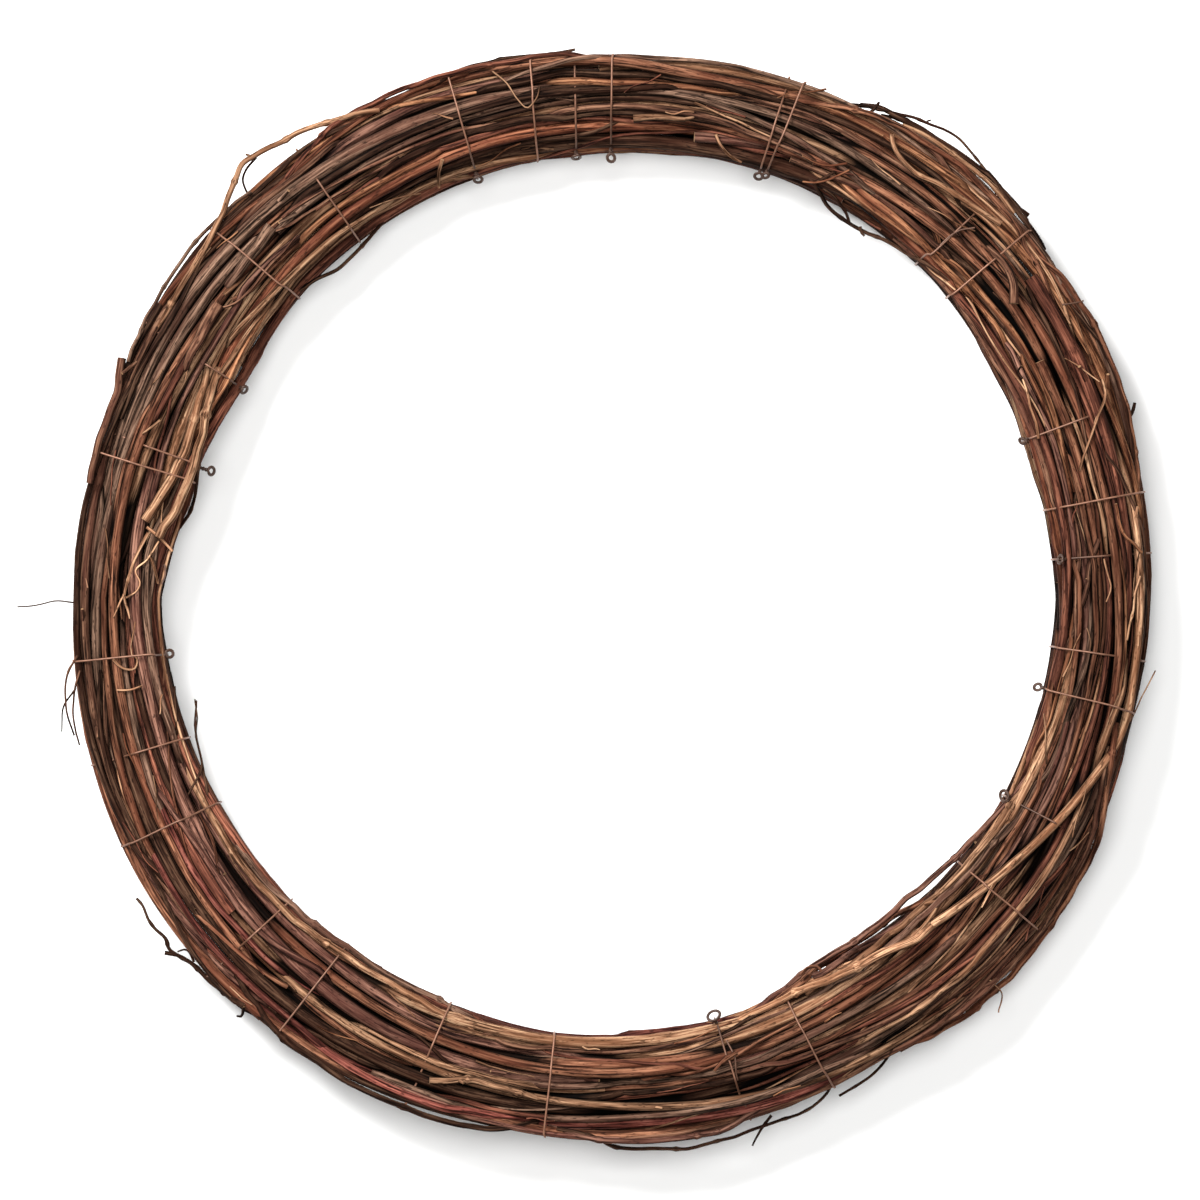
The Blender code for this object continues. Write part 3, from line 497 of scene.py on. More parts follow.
def stub_on(run, angle, lean, clock, length, thick, tone):
    """A snipped side twig, standing on the cane where the CAD cane has it."""
    angle += 360 * math.ceil((run["angle"][0] - angle) / 360)
    turn, rise, tilt = math.radians(angle), math.radians(clock), math.radians(lean)
    onward = np.array((-math.sin(turn), math.cos(turn), 0))
    outward = np.array((math.cos(turn), math.sin(turn), 0))
    aside = math.cos(rise) * outward + math.sin(rise) * np.array((0, 0, 1))
    reach = np.interp(angle, run["angle"], run["thick"])
    root = around(angle, *eased(np.array([angle]), run["angle"], run["spots"])[0])
    heading = math.cos(tilt) * onward + math.sin(tilt) * aside
    return twig_from(root, heading, reach / math.sin(tilt) + length, thick / 2, tone)


for number, (bark, tone) in enumerate(FRONT_BARKS, 1):
    node = f"front_cane_{number:02d}"
    run = runs[node]
    chains = [chain_of(run, tone)]
    if isinstance(tone, list):
        tone = tone[0][1]
    chains += [stub_on(run, *stub[1:], tone) for stub in FRONT_STUBS if stub[0] == number]
    for snag in range(int(rng.integers(*SNAGS))):
        angle = rng.uniform(run["angle"][0] + END_ROOM, run["angle"][-1] - END_ROOM)
        chains.append(stub_on(
            run, angle, rng.uniform(*SNAG_LEANS) + rng.choice((0, LEAN_BACK)), rng.uniform(*SNAG_CLOCKS),
            rng.uniform(*SNAG_LENGTHS), rng.uniform(*SNAG_THICK), tone + rng.uniform(0, SNAG_PALER)))
    cane = wind_cane("dressed_" + node, chains, bark)
    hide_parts(node)

# The two stray canes
# Thin shoots that sprang out of the ring as it dried and stand off its edges in shallow arches, with the buds
# and side twigs that nobody trimmed. Each is drawn through places on the front, x and y in turn, in mm.
LOOSE_STEP = 0.0012
LOOSE_RINGS = 0.0013
LOOSE_SIDES = 8
LOOSE_BENDS = 0.007
LOOSE_WANDER = 0.00030
LOOSE_EASE = 3
BUD_PLACES = (0.2, 0.8)
BUD_SWELL = (0.3, 0.7)
BUD_REACH = 0.0010
MIDDLE_HEIGHT = 0.0180


def loose(places, thick, thin, tone, lift=(0, 0), buds=0, sunk=0):
    """A loose shoot's run of points: it rests on what lies under it, or is sunk in it a little. Its ends may
    stand up by the lift."""
    spots = np.reshape(places, (-1, 2)) / 1000
    gone = np.concatenate([[0], np.cumsum(np.linalg.norm(np.diff(spots, axis=0), axis=1))])
    at = np.linspace(0, gone[-1], max(int(gone[-1] / LOOSE_STEP), 4))
    flat = eased(at, gone, spots)
    radius = np.interp(at, (0, gone[-1]), (thick / 2000, thin / 2000))
    heights = np.array([
        tops_of(circles_at(math.degrees(math.atan2(y, x)) % 360, laid), [math.hypot(x, y)], size)[0]
        for (x, y), size in zip(flat, radius)])
    if heights.any():
        heights = np.interp(at, at[heights > 0], heights[heights > 0])
    else:
        heights += MIDDLE_HEIGHT
    heights = levelled([heights[max(i - LOOSE_EASE, 0):i + LOOSE_EASE + 1].max() for i in range(len(at))],
                       LOOSE_EASE)
    share = at / gone[-1]
    heights += (-sunk + lift[0] * np.clip(1 - 3 * share, 0, 1) ** 2
                + lift[1] * np.clip(3 * share - 2, 0, 1) ** 2) / 1000
    bends = np.arange(0, at[-1] + 2 * LOOSE_BENDS, LOOSE_BENDS)
    flat += np.transpose([np.interp(at, bends, rng.normal(0, LOOSE_WANDER, len(bends))) for side in (0, 1)])
    for bud in range(buds):
        knot = gone[-1] * (bud + rng.uniform(*BUD_PLACES)) / buds
        radius = radius * (1 + rng.uniform(*BUD_SWELL) * np.exp(-((at - knot) / BUD_REACH) ** 2))
    return new_chain(np.column_stack([flat, heights]), radius, np.full(len(at), tone))


# Shoot: places, thickness at the start and at the end, tone, lift of each end, buds
OUTER_SHOOTS = [
    ([86, 206.5, 93, 207.4, 101, 206.8, 108.5, 205.2, 117.2, 203.6, 122.6, 202.4, 131, 199.5, 139.4, 196.1,
     144.9, 192.4, 149.9, 186.9, 155, 181, 160.4, 174.7, 166.7, 168, 170.9, 163, 174.5, 156.7, 176.8, 149],
     1.5, 0.8, 0.35, (-5, 0), 6),
    ([112, 203.3, 120.2, 200.6, 131, 195.3, 145.7, 186.1, 156.2, 178.9], 1.3, 1.2, 0.2, (0, 1), 4),
    ([154.8, 179.9, 156.3, 178.9], 1.9, 1.9, 0.2, (1, 1)),
    ([131, 199.5, 131.9, 200.5, 133.6, 200.9], 1, 0.6, 0.2, (0, 1)),
    ([160.4, 170.5, 166, 165.6, 172, 162.4, 174.6, 160.4], 1.3, 1.7, 0.1, (0, 0), 1),
    ([-154, -171, -161.5, -166.4, -168.4, -161.9, -173.5, -156.7, -177.7, -153.3, -182.7, -150.8,
     -186.9, -147.8, -188.2, -143.6, -192.4, -139.4, -194.9, -135.7, -198.2, -128.9, -200.3, -126.4], 2.3,
     1.1, 0.3, (0, 0), 7),
    ([-182.7, -150.8, -188.4, -149.2], 1.6, 1.9, 0.1),
    ([-176.5, -152.9, -178.8, -147.9, -182.7, -148.7], 1.1, 0.7, 0.6),
    ([-154.6, -171, -156.1, -175.6, -157.6, -175.4], 1.6, 0.9, 0),
    ([-24, -221.5, -8.1, -225.8, -0.8, -229.1, 9.9, -230.4, 22.7, -230.6, 35.7, -230, 44.9, -227.2,
     57.5, -223.4, 70.1, -219.2, 78.5, -215.9, 84.8, -212.9, 89.5, -208.7, 91.6, -203.7], 1.8, 1.2, 0.3,
     (0, 0), 6),
    ([66.8, -217.1, 62, -223.7, 60.2, -227, 58.4, -230.4], 1.3, 0.8, -0.1, (0, 0), 1),
    ([95.3, -208.7, 103.7, -203.7, 111.7, -197.4, 117, -189], 1.1, 1.2, 0.2, (0, -2), 1),
]
INNER_SHOOTS = [
    ([71, 184.8, 80.7, 177, 87, 169.3, 89.7, 164.5, 93.6, 160.8, 100, 157, 110, 152.5, 126.3, 142.8,
     140.4, 133.3, 156.8, 122.5], 1.7, 1.5, 0.6, (-5, -5), 5),
    ([82.9, 173.7, 88.6, 175.4, 94, 178.2, 99, 180.2], 1.4, 1, 1.2, (-3, 0)),
    ([99.6, 157.6, 98.2, 162.1, 94, 166.8, 87.4, 171.5], 1.3, 1.3, 0.9, (0, -2)),
    ([103.6, 155.9, 104.3, 153.5, 105.7, 152.1], 1.5, 1, 0.6),
    ([-168.8, -93.6, -170, -81.1, -172.1, -70.2, -173.7, -63.2, -174.8, -54.8, -174.7, -42.6], 1.2, 0.8, 0.3,
     (-6, 0), 2),
    ([-183, -63, -182.6, -54.1, -182.8, -45.9, -183.2, -36.9], 1.7, 1, 0, (-5, 0)),
    ([-136, 126.9, -127.4, 131.9, -121.5, 135, -115.6, 138.2, -110.3, 143.2, -104.6, 149.4, -95.8, 159.4],
     1.6, 1.5, 0.5, (-4, -4), 2),
    ([-181.6, 29.4, -177.2, 37.7, -175, 45.6, -173.3, 53.6, -170.6, 68.9], 1.5, 1.4, 0.5, (-3, -3), 2),
]
for node, shoots in (("stray_cane_01", OUTER_SHOOTS), ("stray_cane_02", INNER_SHOOTS)):
    stray = wind_cane("dressed_" + node, [loose(*row) for row in shoots], "dark", LOOSE_RINGS, LOOSE_SIDES)
    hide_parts(node)

# The fine vines
# The thin ends and shoots of the same vines, one to three millimetres thick. They lie in the grooves between
# the canes round the bundle, cross them at a slant, dive under and come up again, and hold by friction.
# Vines bedded in the grooves, on the front, on the back and at the sides: how many, how far round each goes,
# thickness, tone and how deep it rests
BEDDED_FINE, BEDDED_SPAN, BEDDED_THICK = 78, (24, 70), (0.0020, 0.0027, 0.0034)
BEDDED_TONE, BEDDED_REST = (-0.45, 0.5), (0.0003, 0.0024)
FRONT_FINE, FRONT_SPAN, FRONT_THICK = 66, (20, 66), (0.0012, 0.0017, 0.0023, 0.0032)
FRONT_TONE, FRONT_REST = (-0.35, 0.4), (0.0012, 0.0052)
BACK_FINE, BACK_SPAN, BACK_THICK = 40, (50, 120), (0.0018, 0.0036)
BACK_TONE, BACK_REST = (-0.5, 0.3), (0, 0.0015)
SIDE_FINE, SIDE_SPAN, SIDE_THICK = 36, (40, 100), (0.0014, 0.0032)
SIDE_TONE, SIDE_REST = (-0.4, 0.4), (0, 0.0010)
THICK_SPREAD = (0.85, 1.15)
FRONT_DRIFT, BACK_DRIFT = 0.34, 0.2
SIDE_CLOCK, SIDE_SWAY = 38, 25
LANE_WANDER, CLOCK_WANDER = 0.025, 3
FRONT_TUCKED = (0.94, 0.86)
SIDE_TUCKED = 0.8
BEDDED_TAPER, FRONT_TAPER, SMALL_END = (0.65, 0.9), (0.6, 0.85), 0.8
LANES = (0.08, 0.92)
LANE_MARKS = 40
GROOVE_MARKS = 7
KEEP_LANE = 0.0006
GOLDEN = 0.618034
DIVE_ANGLE = 8.0
DIVE_DEPTH = 0.0075
FINE_ROUNDS = 70
FINE_PULL = 0.10
KNOWN_PULL = 0.3
FINE_STIFFNESS = 0.32
CANE_PUSH, VINE_PUSH = 0.8, 0.4
FINE_KINK = 0.00045
FINE_KNUCKLES = (0.018, 0.06)
FINE_STEP = 0.9
FINE_RINGS = 0.0030
FINE_SIDES = 7
TOP_CANE = "front_cane_08"
TOP_CANE_FROM, TOP_CANE_TO = 294, 350
# Where the ring changes its mix of barks: the angle from which each mix holds
REGION_BARKS = [
    (0, "brown orange_brown red_brown violet_brown grey_brown tan olive_grey"),
    (35, "orange_brown red_brown brown grey_brown tan dark light_brown"),
    (65, "red_brown brown dark orange_brown violet_brown red_orange grey_brown"),
    (110, "brown tan grey_brown dark orange_brown olive_grey light_brown"),
    (150, "grey_brown olive_grey dark violet_brown brown red_brown tan"),
    (200, "red red_brown violet_brown violet_brown red brown dark"),
    (250, "brown violet_brown olive_grey red_brown grey_brown light_brown dark"),
    (290, "light_brown tan brown olive_grey grey_brown red_brown violet_brown"),
    (340, "brown orange_brown violet_brown olive_grey red_brown grey_brown tan"),
]
below_top = [circles_at(slot * SLOT_STEP, [run for run in laid if run is not runs[TOP_CANE]])
             if TOP_CANE_FROM <= slot * SLOT_STEP <= TOP_CANE_TO else bundle[slot] for slot in range(SLOTS)]


def skin_reach(circles, start, facing, thick):
    """How far from a point inside the bundle a vine of this thickness rests on it, in one direction."""
    away = circles[:, :2] - start
    ahead = away @ facing
    aside = (away ** 2).sum(axis=1) - ahead ** 2
    room = (circles[:, 2] + thick) ** 2 - aside
    return np.where(room > 0, ahead + np.sqrt(np.maximum(room, 0)), 0).max(initial=0)


def fine_vine(bark, tone, thin, thick, angles, lanes, clocks, rest, tucked, hold=FINE_PULL):
    """A vine's home at every slot it passes, on the bundle's skin. A tucked end dives under the others."""
    stations = np.arange(math.ceil(angles[0] / SLOT_STEP), math.floor(angles[-1] / SLOT_STEP) + 1)
    at = stations * SLOT_STEP
    free = np.ones(len(at))
    if tucked[0]:
        free = np.minimum(free, (at - angles[0]) / DIVE_ANGLE)
    if tucked[1]:
        free = np.minimum(free, (angles[-1] - at) / DIVE_ANGLE)
    radii = np.interp(at, (angles[0], angles[-1]), (thin / 2, thick / 2)) * (0.6 + 0.4 * free)
    homes = []
    for angle, radius, open_share in zip(at, radii, free):
        slot = int(angle / SLOT_STEP) % SLOTS
        outer, inner = bundle_outer[slot] - radius, bundle_inner[slot] + radius
        clock = math.radians(np.interp(angle, angles, clocks))
        start = np.array([inner + np.interp(angle, angles, lanes) * (outer - inner), MIDDLE_HEIGHT])
        facing = np.array([math.cos(clock), math.sin(clock)])
        reach = skin_reach(below_top[slot], start, facing, radius) - rest - DIVE_DEPTH * (1 - open_share)
        homes.append(start + facing * reach)
    homes = np.array(homes)
    smoothed = homes.copy()
    smoothed[1:-1] = 0.25 * homes[:-2] + 0.5 * homes[1:-1] + 0.25 * homes[2:]
    return {"bark": bark, "tone": tone, "stations": stations, "homes": smoothed, "hold": hold,
            "thick": radii, "free": free}


def drifting(first, span, lane, drift, clock, sway):
    """Angles, lanes and clocks of a vine that wanders across the bundle as it goes round."""
    angles = first + span * np.array([0, 0.12, 0.35, 0.65, 0.88, 1])
    way = np.array([-0.5, -0.38, -0.15, 0.15, 0.38, 0.5])
    lanes = np.clip(lane + drift * way + rng.normal(0, LANE_WANDER, 6), 0.01, 0.99)
    return angles, lanes, clock + sway * way + rng.normal(0, CLOCK_WANDER, 6)


def bark_near(angle):
    barks = [barks.split() for start, barks in REGION_BARKS if start <= angle % 360][-1]
    return barks[int(rng.integers(len(barks)))]


lane_marks = np.linspace(*LANES, LANE_MARKS)
mark_reaches = bundle_inner[:, None] + lane_marks * (bundle_outer - bundle_inner)[:, None]
tops = np.array([tops_of(below_top[slot], mark_reaches[slot]) for slot in range(SLOTS)])


def groove_depths():
    """How far the bundle's face dips at every mark below the canes on both sides of it."""
    padded = np.pad(tops, ((0, 0), (GROOVE_MARKS, GROOVE_MARKS)), mode="edge")
    inner_wall, outer_wall = [
        np.max([padded[:, side + i:side + i + LANE_MARKS] for i in range(GROOVE_MARKS + 1)], axis=0)
        for side in (0, GROOVE_MARKS)]
    return np.minimum(inner_wall, outer_wall) - tops


def deepest_groove(first, span):
    """Angles and lanes along the groove that dips most over this stretch."""
    stations = np.arange(math.ceil(first / SLOT_STEP), math.floor((first + span) / SLOT_STEP) + 1)
    depths = groove_depths()[stations % SLOTS]
    best, marks = -1.0, None
    for start in range(LANE_MARKS):
        track = [start]
        for row in depths[1:]:
            low = max(track[-1] - 1, 0)
            near = row[low:track[-1] + 2].copy()
            near[track[-1] - low] += KEEP_LANE
            track.append(low + int(np.argmax(near)))
        total = depths[np.arange(len(track)), track].sum()
        if total > best:
            best, marks = total, track
    return stations * SLOT_STEP, lane_marks[marks]


# Vines bedded in the grooves, then others on the front, on the back and at the sides
vines = []
for turn in range(BEDDED_FINE):
    angles, lanes = deepest_groove(720 * turn / BEDDED_FINE + rng.uniform(0, 6), rng.uniform(*BEDDED_SPAN))
    thick = rng.choice(BEDDED_THICK) * rng.uniform(*THICK_SPREAD)
    vine = fine_vine(
        bark_near(angles.mean()), rng.uniform(*BEDDED_TONE), thick * rng.uniform(*BEDDED_TAPER), thick,
        angles.astype(float), levelled(lanes, 2), np.full(len(angles), 90.0), rng.uniform(*BEDDED_REST),
        (True, True))
    vines.append(vine)
    for station, (reach, height), radius in zip(vine["stations"], vine["homes"], vine["thick"]):
        slot = station % SLOTS
        own = tops_of(np.array([[reach, height, radius]]), mark_reaches[slot])
        tops[slot] = np.maximum(tops[slot], own)
for turn in range(FRONT_FINE):
    first = 360 * (turn + rng.uniform(0, 1)) / FRONT_FINE
    span = rng.uniform(*FRONT_SPAN)
    thick = rng.choice(FRONT_THICK) * rng.uniform(*THICK_SPREAD)
    path = drifting(first, span, 0.02 + 0.96 * (turn * GOLDEN % 1), rng.normal(0, FRONT_DRIFT), 90, 0)
    tucked = rng.uniform(0, 1, 2) < FRONT_TUCKED
    vines.append(fine_vine(
        bark_near(first + span / 2), rng.uniform(*FRONT_TONE), thick * rng.uniform(*FRONT_TAPER), thick,
        *path, rng.uniform(*FRONT_REST), tucked))
for turn in range(BACK_FINE):
    first = 360 * turn / BACK_FINE + rng.uniform(0, 10)
    path = drifting(first, rng.uniform(*BACK_SPAN), turn * GOLDEN % 1, rng.normal(0, BACK_DRIFT), 270, 0)
    thick = rng.uniform(*BACK_THICK)
    vines.append(fine_vine(bark_near(first), rng.uniform(*BACK_TONE), thick * SMALL_END, thick, *path,
                           rng.uniform(*BACK_REST), (True, True)))
for turn in range(SIDE_FINE):
    first = 720 * turn / SIDE_FINE + rng.uniform(0, 14)
    clock = (0 if turn % 2 else 180) + rng.uniform(-SIDE_CLOCK, SIDE_CLOCK)
    path = drifting(first, rng.uniform(*SIDE_SPAN), 0.5, 0, clock, rng.normal(0, SIDE_SWAY))
    thick = rng.uniform(*SIDE_THICK)
    vines.append(fine_vine(bark_near(first), rng.uniform(*SIDE_TONE), thick * SMALL_END, thick, *path,
                           rng.uniform(*SIDE_REST), (True, rng.uniform() < SIDE_TUCKED)))

# The vines whose course the photograph shows: bark, tone, diameters, then angle and radius, and tucked ends
KNOWN_FINE = [
    ("red", 0.7, 0.003, 0.0038, [(229, 0.2235), (235, 0.2254), (243, 0.2262), (250, 0.226), (257, 0.2247),
     (263, 0.2215)], (1, 1)),
    ("tan", 0.2, 0.0016, 0.0022, [(193, 0.217), (197, 0.2195), (203, 0.2218), (209, 0.2205), (215, 0.2171)],
     (1, 1)),
    ("tan", 0.1, 0.0018, 0.0024, [(36, 0.2262), (42, 0.224), (50, 0.2205), (56, 0.2184), (61, 0.2197)],
     (1, 1)),
    ("dark", 0.2, 0.002, 0.0026, [(18, 0.21), (26, 0.2118), (34, 0.2145), (44, 0.2188)], (1, 1)),
    ("brown", 0.3, 0.0016, 0.0024, [(212, 0.22), (222, 0.2165), (231.5, 0.212)], (1, 0)),
    ("dark", 0, 0.0018, 0.0022, [(224, 0.2302), (236, 0.2296), (250, 0.2285), (263, 0.2272)], (1, 1)),
    ("dark", -0.2, 0.0014, 0.002, [(135, 0.2297), (148, 0.228), (161, 0.2251)], (1, 1)),
    ("dark", -0.1, 0.0016, 0.002, [(92, 0.2294), (101, 0.2303), (111, 0.2296)], (0, 1)),
    ("light_brown", 0.2, 0.0016, 0.0022, [(134, 0.201), (139, 0.2045), (143.5, 0.207)], (1, 0)),
    ("grey_brown", 0, 0.003, 0.0034, [(60, 0.2), (75, 0.2035), (90, 0.206), (104, 0.201)], (1, 1)),
    ("olive_grey", 0.1, 0.0026, 0.0032, [(52, 0.199), (66, 0.204), (78, 0.21), (88, 0.214)], (1, 1)),
    ("red_brown", 0.2, 0.0022, 0.003, [(290, 0.206), (305, 0.209), (320, 0.215), (334, 0.22)], (1, 1)),
    ("grey_brown", 0.2, 0.0022, 0.003, [(270, 0.201), (286, 0.205), (302, 0.211), (316, 0.216)], (1, 1)),
]
for bark, tone, thin, thick, path, tucked in KNOWN_FINE:
    angles, radii = np.transpose(path).astype(float)
    slots = np.round(angles / SLOT_STEP).astype(int) % SLOTS
    lanes = (radii - bundle_inner[slots]) / (bundle_outer[slots] - bundle_inner[slots])
    vines.append(fine_vine(
        bark, tone, thin, thick, angles, lanes, np.full(len(angles), 90.0), 0.0, tucked, KNOWN_PULL))

# They settle together: each is drawn to its home, stays supple, and is pushed off whatever it touches
spots = np.concatenate([vine["homes"] for vine in vines])
homes = spots.copy()
radii = np.concatenate([vine["thick"] for vine in vines])
pull = np.concatenate([np.full(len(vine["homes"]), vine["hold"]) for vine in vines])[:, None]
give = np.concatenate([np.clip(vine["free"], 0, 1) for vine in vines])[:, None]
slot_of = np.concatenate([vine["stations"] % SLOTS for vine in vines])
ends = np.cumsum([0] + [len(vine["homes"]) for vine in vines])
inner_ones = np.ones(len(spots), bool)
inner_ones[ends[:-1]] = inner_ones[ends[1:] - 1] = False
inside = np.flatnonzero(inner_ones)
in_slot = [np.flatnonzero(slot_of == slot) for slot in range(SLOTS)]


def push_off(here, others, other_radii, share, same=False):
    """Moves the vines here out of what they overlap, by a share of the overlap."""
    away = spots[here][:, None] - others[None]
    far = np.sqrt((away ** 2).sum(axis=2)) + 1e-9
    push = np.maximum(radii[here][:, None] + other_radii[None] - far, 0)
    if same:
        np.fill_diagonal(push, 0)
    spots[here] += share * give[here] * (away * (push / far)[..., None]).sum(axis=1)


for turn in range(FINE_ROUNDS):
    spots += pull * (homes - spots)
    spots[inside] += FINE_STIFFNESS * (0.5 * (spots[inside - 1] + spots[inside + 1]) - spots[inside])
    for slot, here in enumerate(in_slot):
        push_off(here, bundle[slot][:, :2], bundle[slot][:, 2], CANE_PUSH)
        push_off(here, spots[here], radii[here], VINE_PUSH, same=True)
    spots[:, 0] = np.clip(spots[:, 0], bundle_inner[slot_of] + radii, bundle_outer[slot_of] - radii)
    spots[:, 1] = np.maximum(spots[:, 1], radii + 2 * BENCH_GAP)
fine_chains = {}
for vine, start, end in zip(vines, ends, ends[1:]):
    run = {"angle": vine["stations"] * SLOT_STEP, "spots": spots[start:end], "thick": vine["thick"]}
    laid.append(run)
    fine_chains.setdefault(vine["bark"], []).append(
        chain_of(run, vine["tone"], FINE_KINK, FINE_KNUCKLES, FINE_STEP))
for bark, chains in fine_chains.items():
    wind_cane("fine_vines_" + bark, chains, bark, FINE_RINGS, FINE_SIDES)

# The wire ties
# Thin annealed iron wire with a brown coat, wound once round the bundle and drawn tight. On the hole's side
# the two ends of some are twisted together, and the tail is bent into a small eye.
WIRE_RADIUS = 0.00043
WIRE_RINGS = 0.0009
WIRE_SIDES = 8
WIRE_DIRECTIONS = 56
COVERED_DEPTH = 0.0065
COVER_FADE = 0.08
TWIST_RADIUS = 0.00055
TWIST_TURNS = 1.2
TWIST_LENGTH = 0.0014
NECK_RISE = 0.0060
EYE_RISE = -0.0006
EYE_SIZES = (0.0013, 0.0017)
EYE_TURNS = 2
EYE_TILTS = (0.3, 1.0)
EYE_OPENS = 152
EYE_STEPS = 24
WIRE_DARK = "#573727"
WIRE_PALE = "#9c6f57"
WIRE_TONES = (-1.0, 1.0, 0.12, 1.5)
HOOP_TONE, TWIST_TONE, EYE_TONE = 0.05, -0.8, -0.85
# Tie: its angles outside and inside, the radius at which its eye hangs if it has one, the share of the band,
# from the outer edge, where bark has closed over it, and the eye's size where it is larger
TIES = [
    (4.8, 5, 0.1877, 0.44), (11.3, 11.5), (20.8, 21, 0.1835, 0.4), (41.3, 42), (69.5, 70.2, 0.188),
    (90, 90.3, 0.1845), (98.4, 99.8), (107.4, 107.9, 0.1843), (125.2, 125.4, None, 0.36), (137.5, 136.3),
    (149.4, 150.6, 0.1775, 0.6), (161.4, 162.5, 0.1764, 0.45), (164, 164.6), (186.6, 187.2, 0.1871),
    (197.8, 198.2, None, 0.42), (206.8, 207.5), (232.3, 232.6), (247.7, 248.2, None, 0.45), (262.8, 262.3),
    (284.8, 283.6, 0.18, 0.4, 0.0027), (294.4, 293.2), (322, 322.6), (332.8, 333.2, 0.1835, 0.46, 0.0021),
    (347.5, 348.2, 0.1817),
]
# Ties that the photograph shows besides
MORE_TIES = [
    (46.2, 47.8, None, 0.3), (71.3, 71, 0.187, 0.3), (93.6, 94.8, 0.1853, 0.42), (223, 223.2, None, 0.46),
    (353.2, 353.7, None, 0.38),
]


def wire_coat_look():
    """Annealed iron tie wire, drawn and coated brown: satin, mottled, and darker at the bent ends."""
    made, tree, shader = new_look("annealed iron tie wire, brown coat")
    place = add(tree, "TexCoord").outputs["Object"]
    mottle = add(tree, "TexNoise", {"Vector": place, "Scale": 420.0, "Detail": 3.0})
    coat = add(tree, "Mix", {0: mottle, 6: linear(WIRE_DARK), 7: linear(WIRE_PALE)}, data_type="RGBA")
    given_tone = add(tree, "Attribute", attribute_name="tone").outputs["Fac"]
    tone = add(tree, "MapRange", [given_tone, *WIRE_TONES])
    toned = add(tree, "HueSaturation", {"Value": tone, "Color": coat})
    feed(tree, shader, {"Base Color": toned, "Roughness": 0.5, "Metallic": 0.35})
    return made


wire_look = wire_coat_look()
wire_tree, wire_inputs, given = new_tree("round wire", {
    "Runs": "Geometry", "Ring spacing": "Float", "Sides": "Int", "Wire": "Material"})
rings, circle = rings_and_circle(wire_tree, given)
thick = add(wire_tree, "InputNamedAttribute", {"Name": "thick"})
drawn = add(wire_tree, "CurveToMesh", {
    "Curve": rings, "Profile Curve": circle, "Scale": thick, "Fill Caps": True})
smooth = add(wire_tree, "SetShadeSmooth", {"Geometry": drawn, "Shade Smooth": True})
real = add(wire_tree, "RealizeInstances", [smooth])
coated = add(wire_tree, "SetMaterial", {"Geometry": real, "Material": given["Wire"]})
add(wire_tree, "GroupOutput", [coated])


def wire_round(outside, inside, covered):
    """Points of a wire drawn tight round the bundle, from the front over the outer side and the back."""
    middle, swing = (outside + inside) / 2, (outside - inside) / 2
    turns = 90 - np.linspace(0, 360, WIRE_DIRECTIONS + 1)
    facings = np.stack([np.cos(np.radians(turns)), np.sin(np.radians(turns))], axis=1)
    angles = middle + swing * facings[:, 0]
    reaches = []
    for angle, facing in zip(angles, facings):
        circles = circles_at(angle, laid)
        reaches.append((circles[:, :2] @ facing + circles[:, 2]).max() + WIRE_RADIUS)
    places = np.array([np.linalg.solve(facings[i:i + 2], reaches[i:i + 2]) for i in range(WIRE_DIRECTIONS)])
    for smoothing in range(2):
        places = 0.25 * np.roll(places, 1, axis=0) + 0.5 * places + 0.25 * np.roll(places, -1, axis=0)
    share = (places[:, 0].max() - places[:, 0]) / np.ptp(places[:, 0])
    sunk = np.clip((covered - share) / COVER_FADE, 0, 1) * np.clip(share / COVER_FADE, 0, 1)
    places[:, 1] -= COVERED_DEPTH * np.where(places[:, 1] > MIDDLE_HEIGHT, sunk, 0)
    places[:, 1] = np.maximum(places[:, 1], WIRE_RADIUS + BENCH_GAP)
    return around(0.5 * (angles[1:] + angles[:-1]), places[:, 0], places[:, 1])


def wire_chain(points, tone):
    return {"points": np.array(points), "thick": np.full(len(points), WIRE_RADIUS),
            "tone": tone, "shift": np.zeros(len(points))}


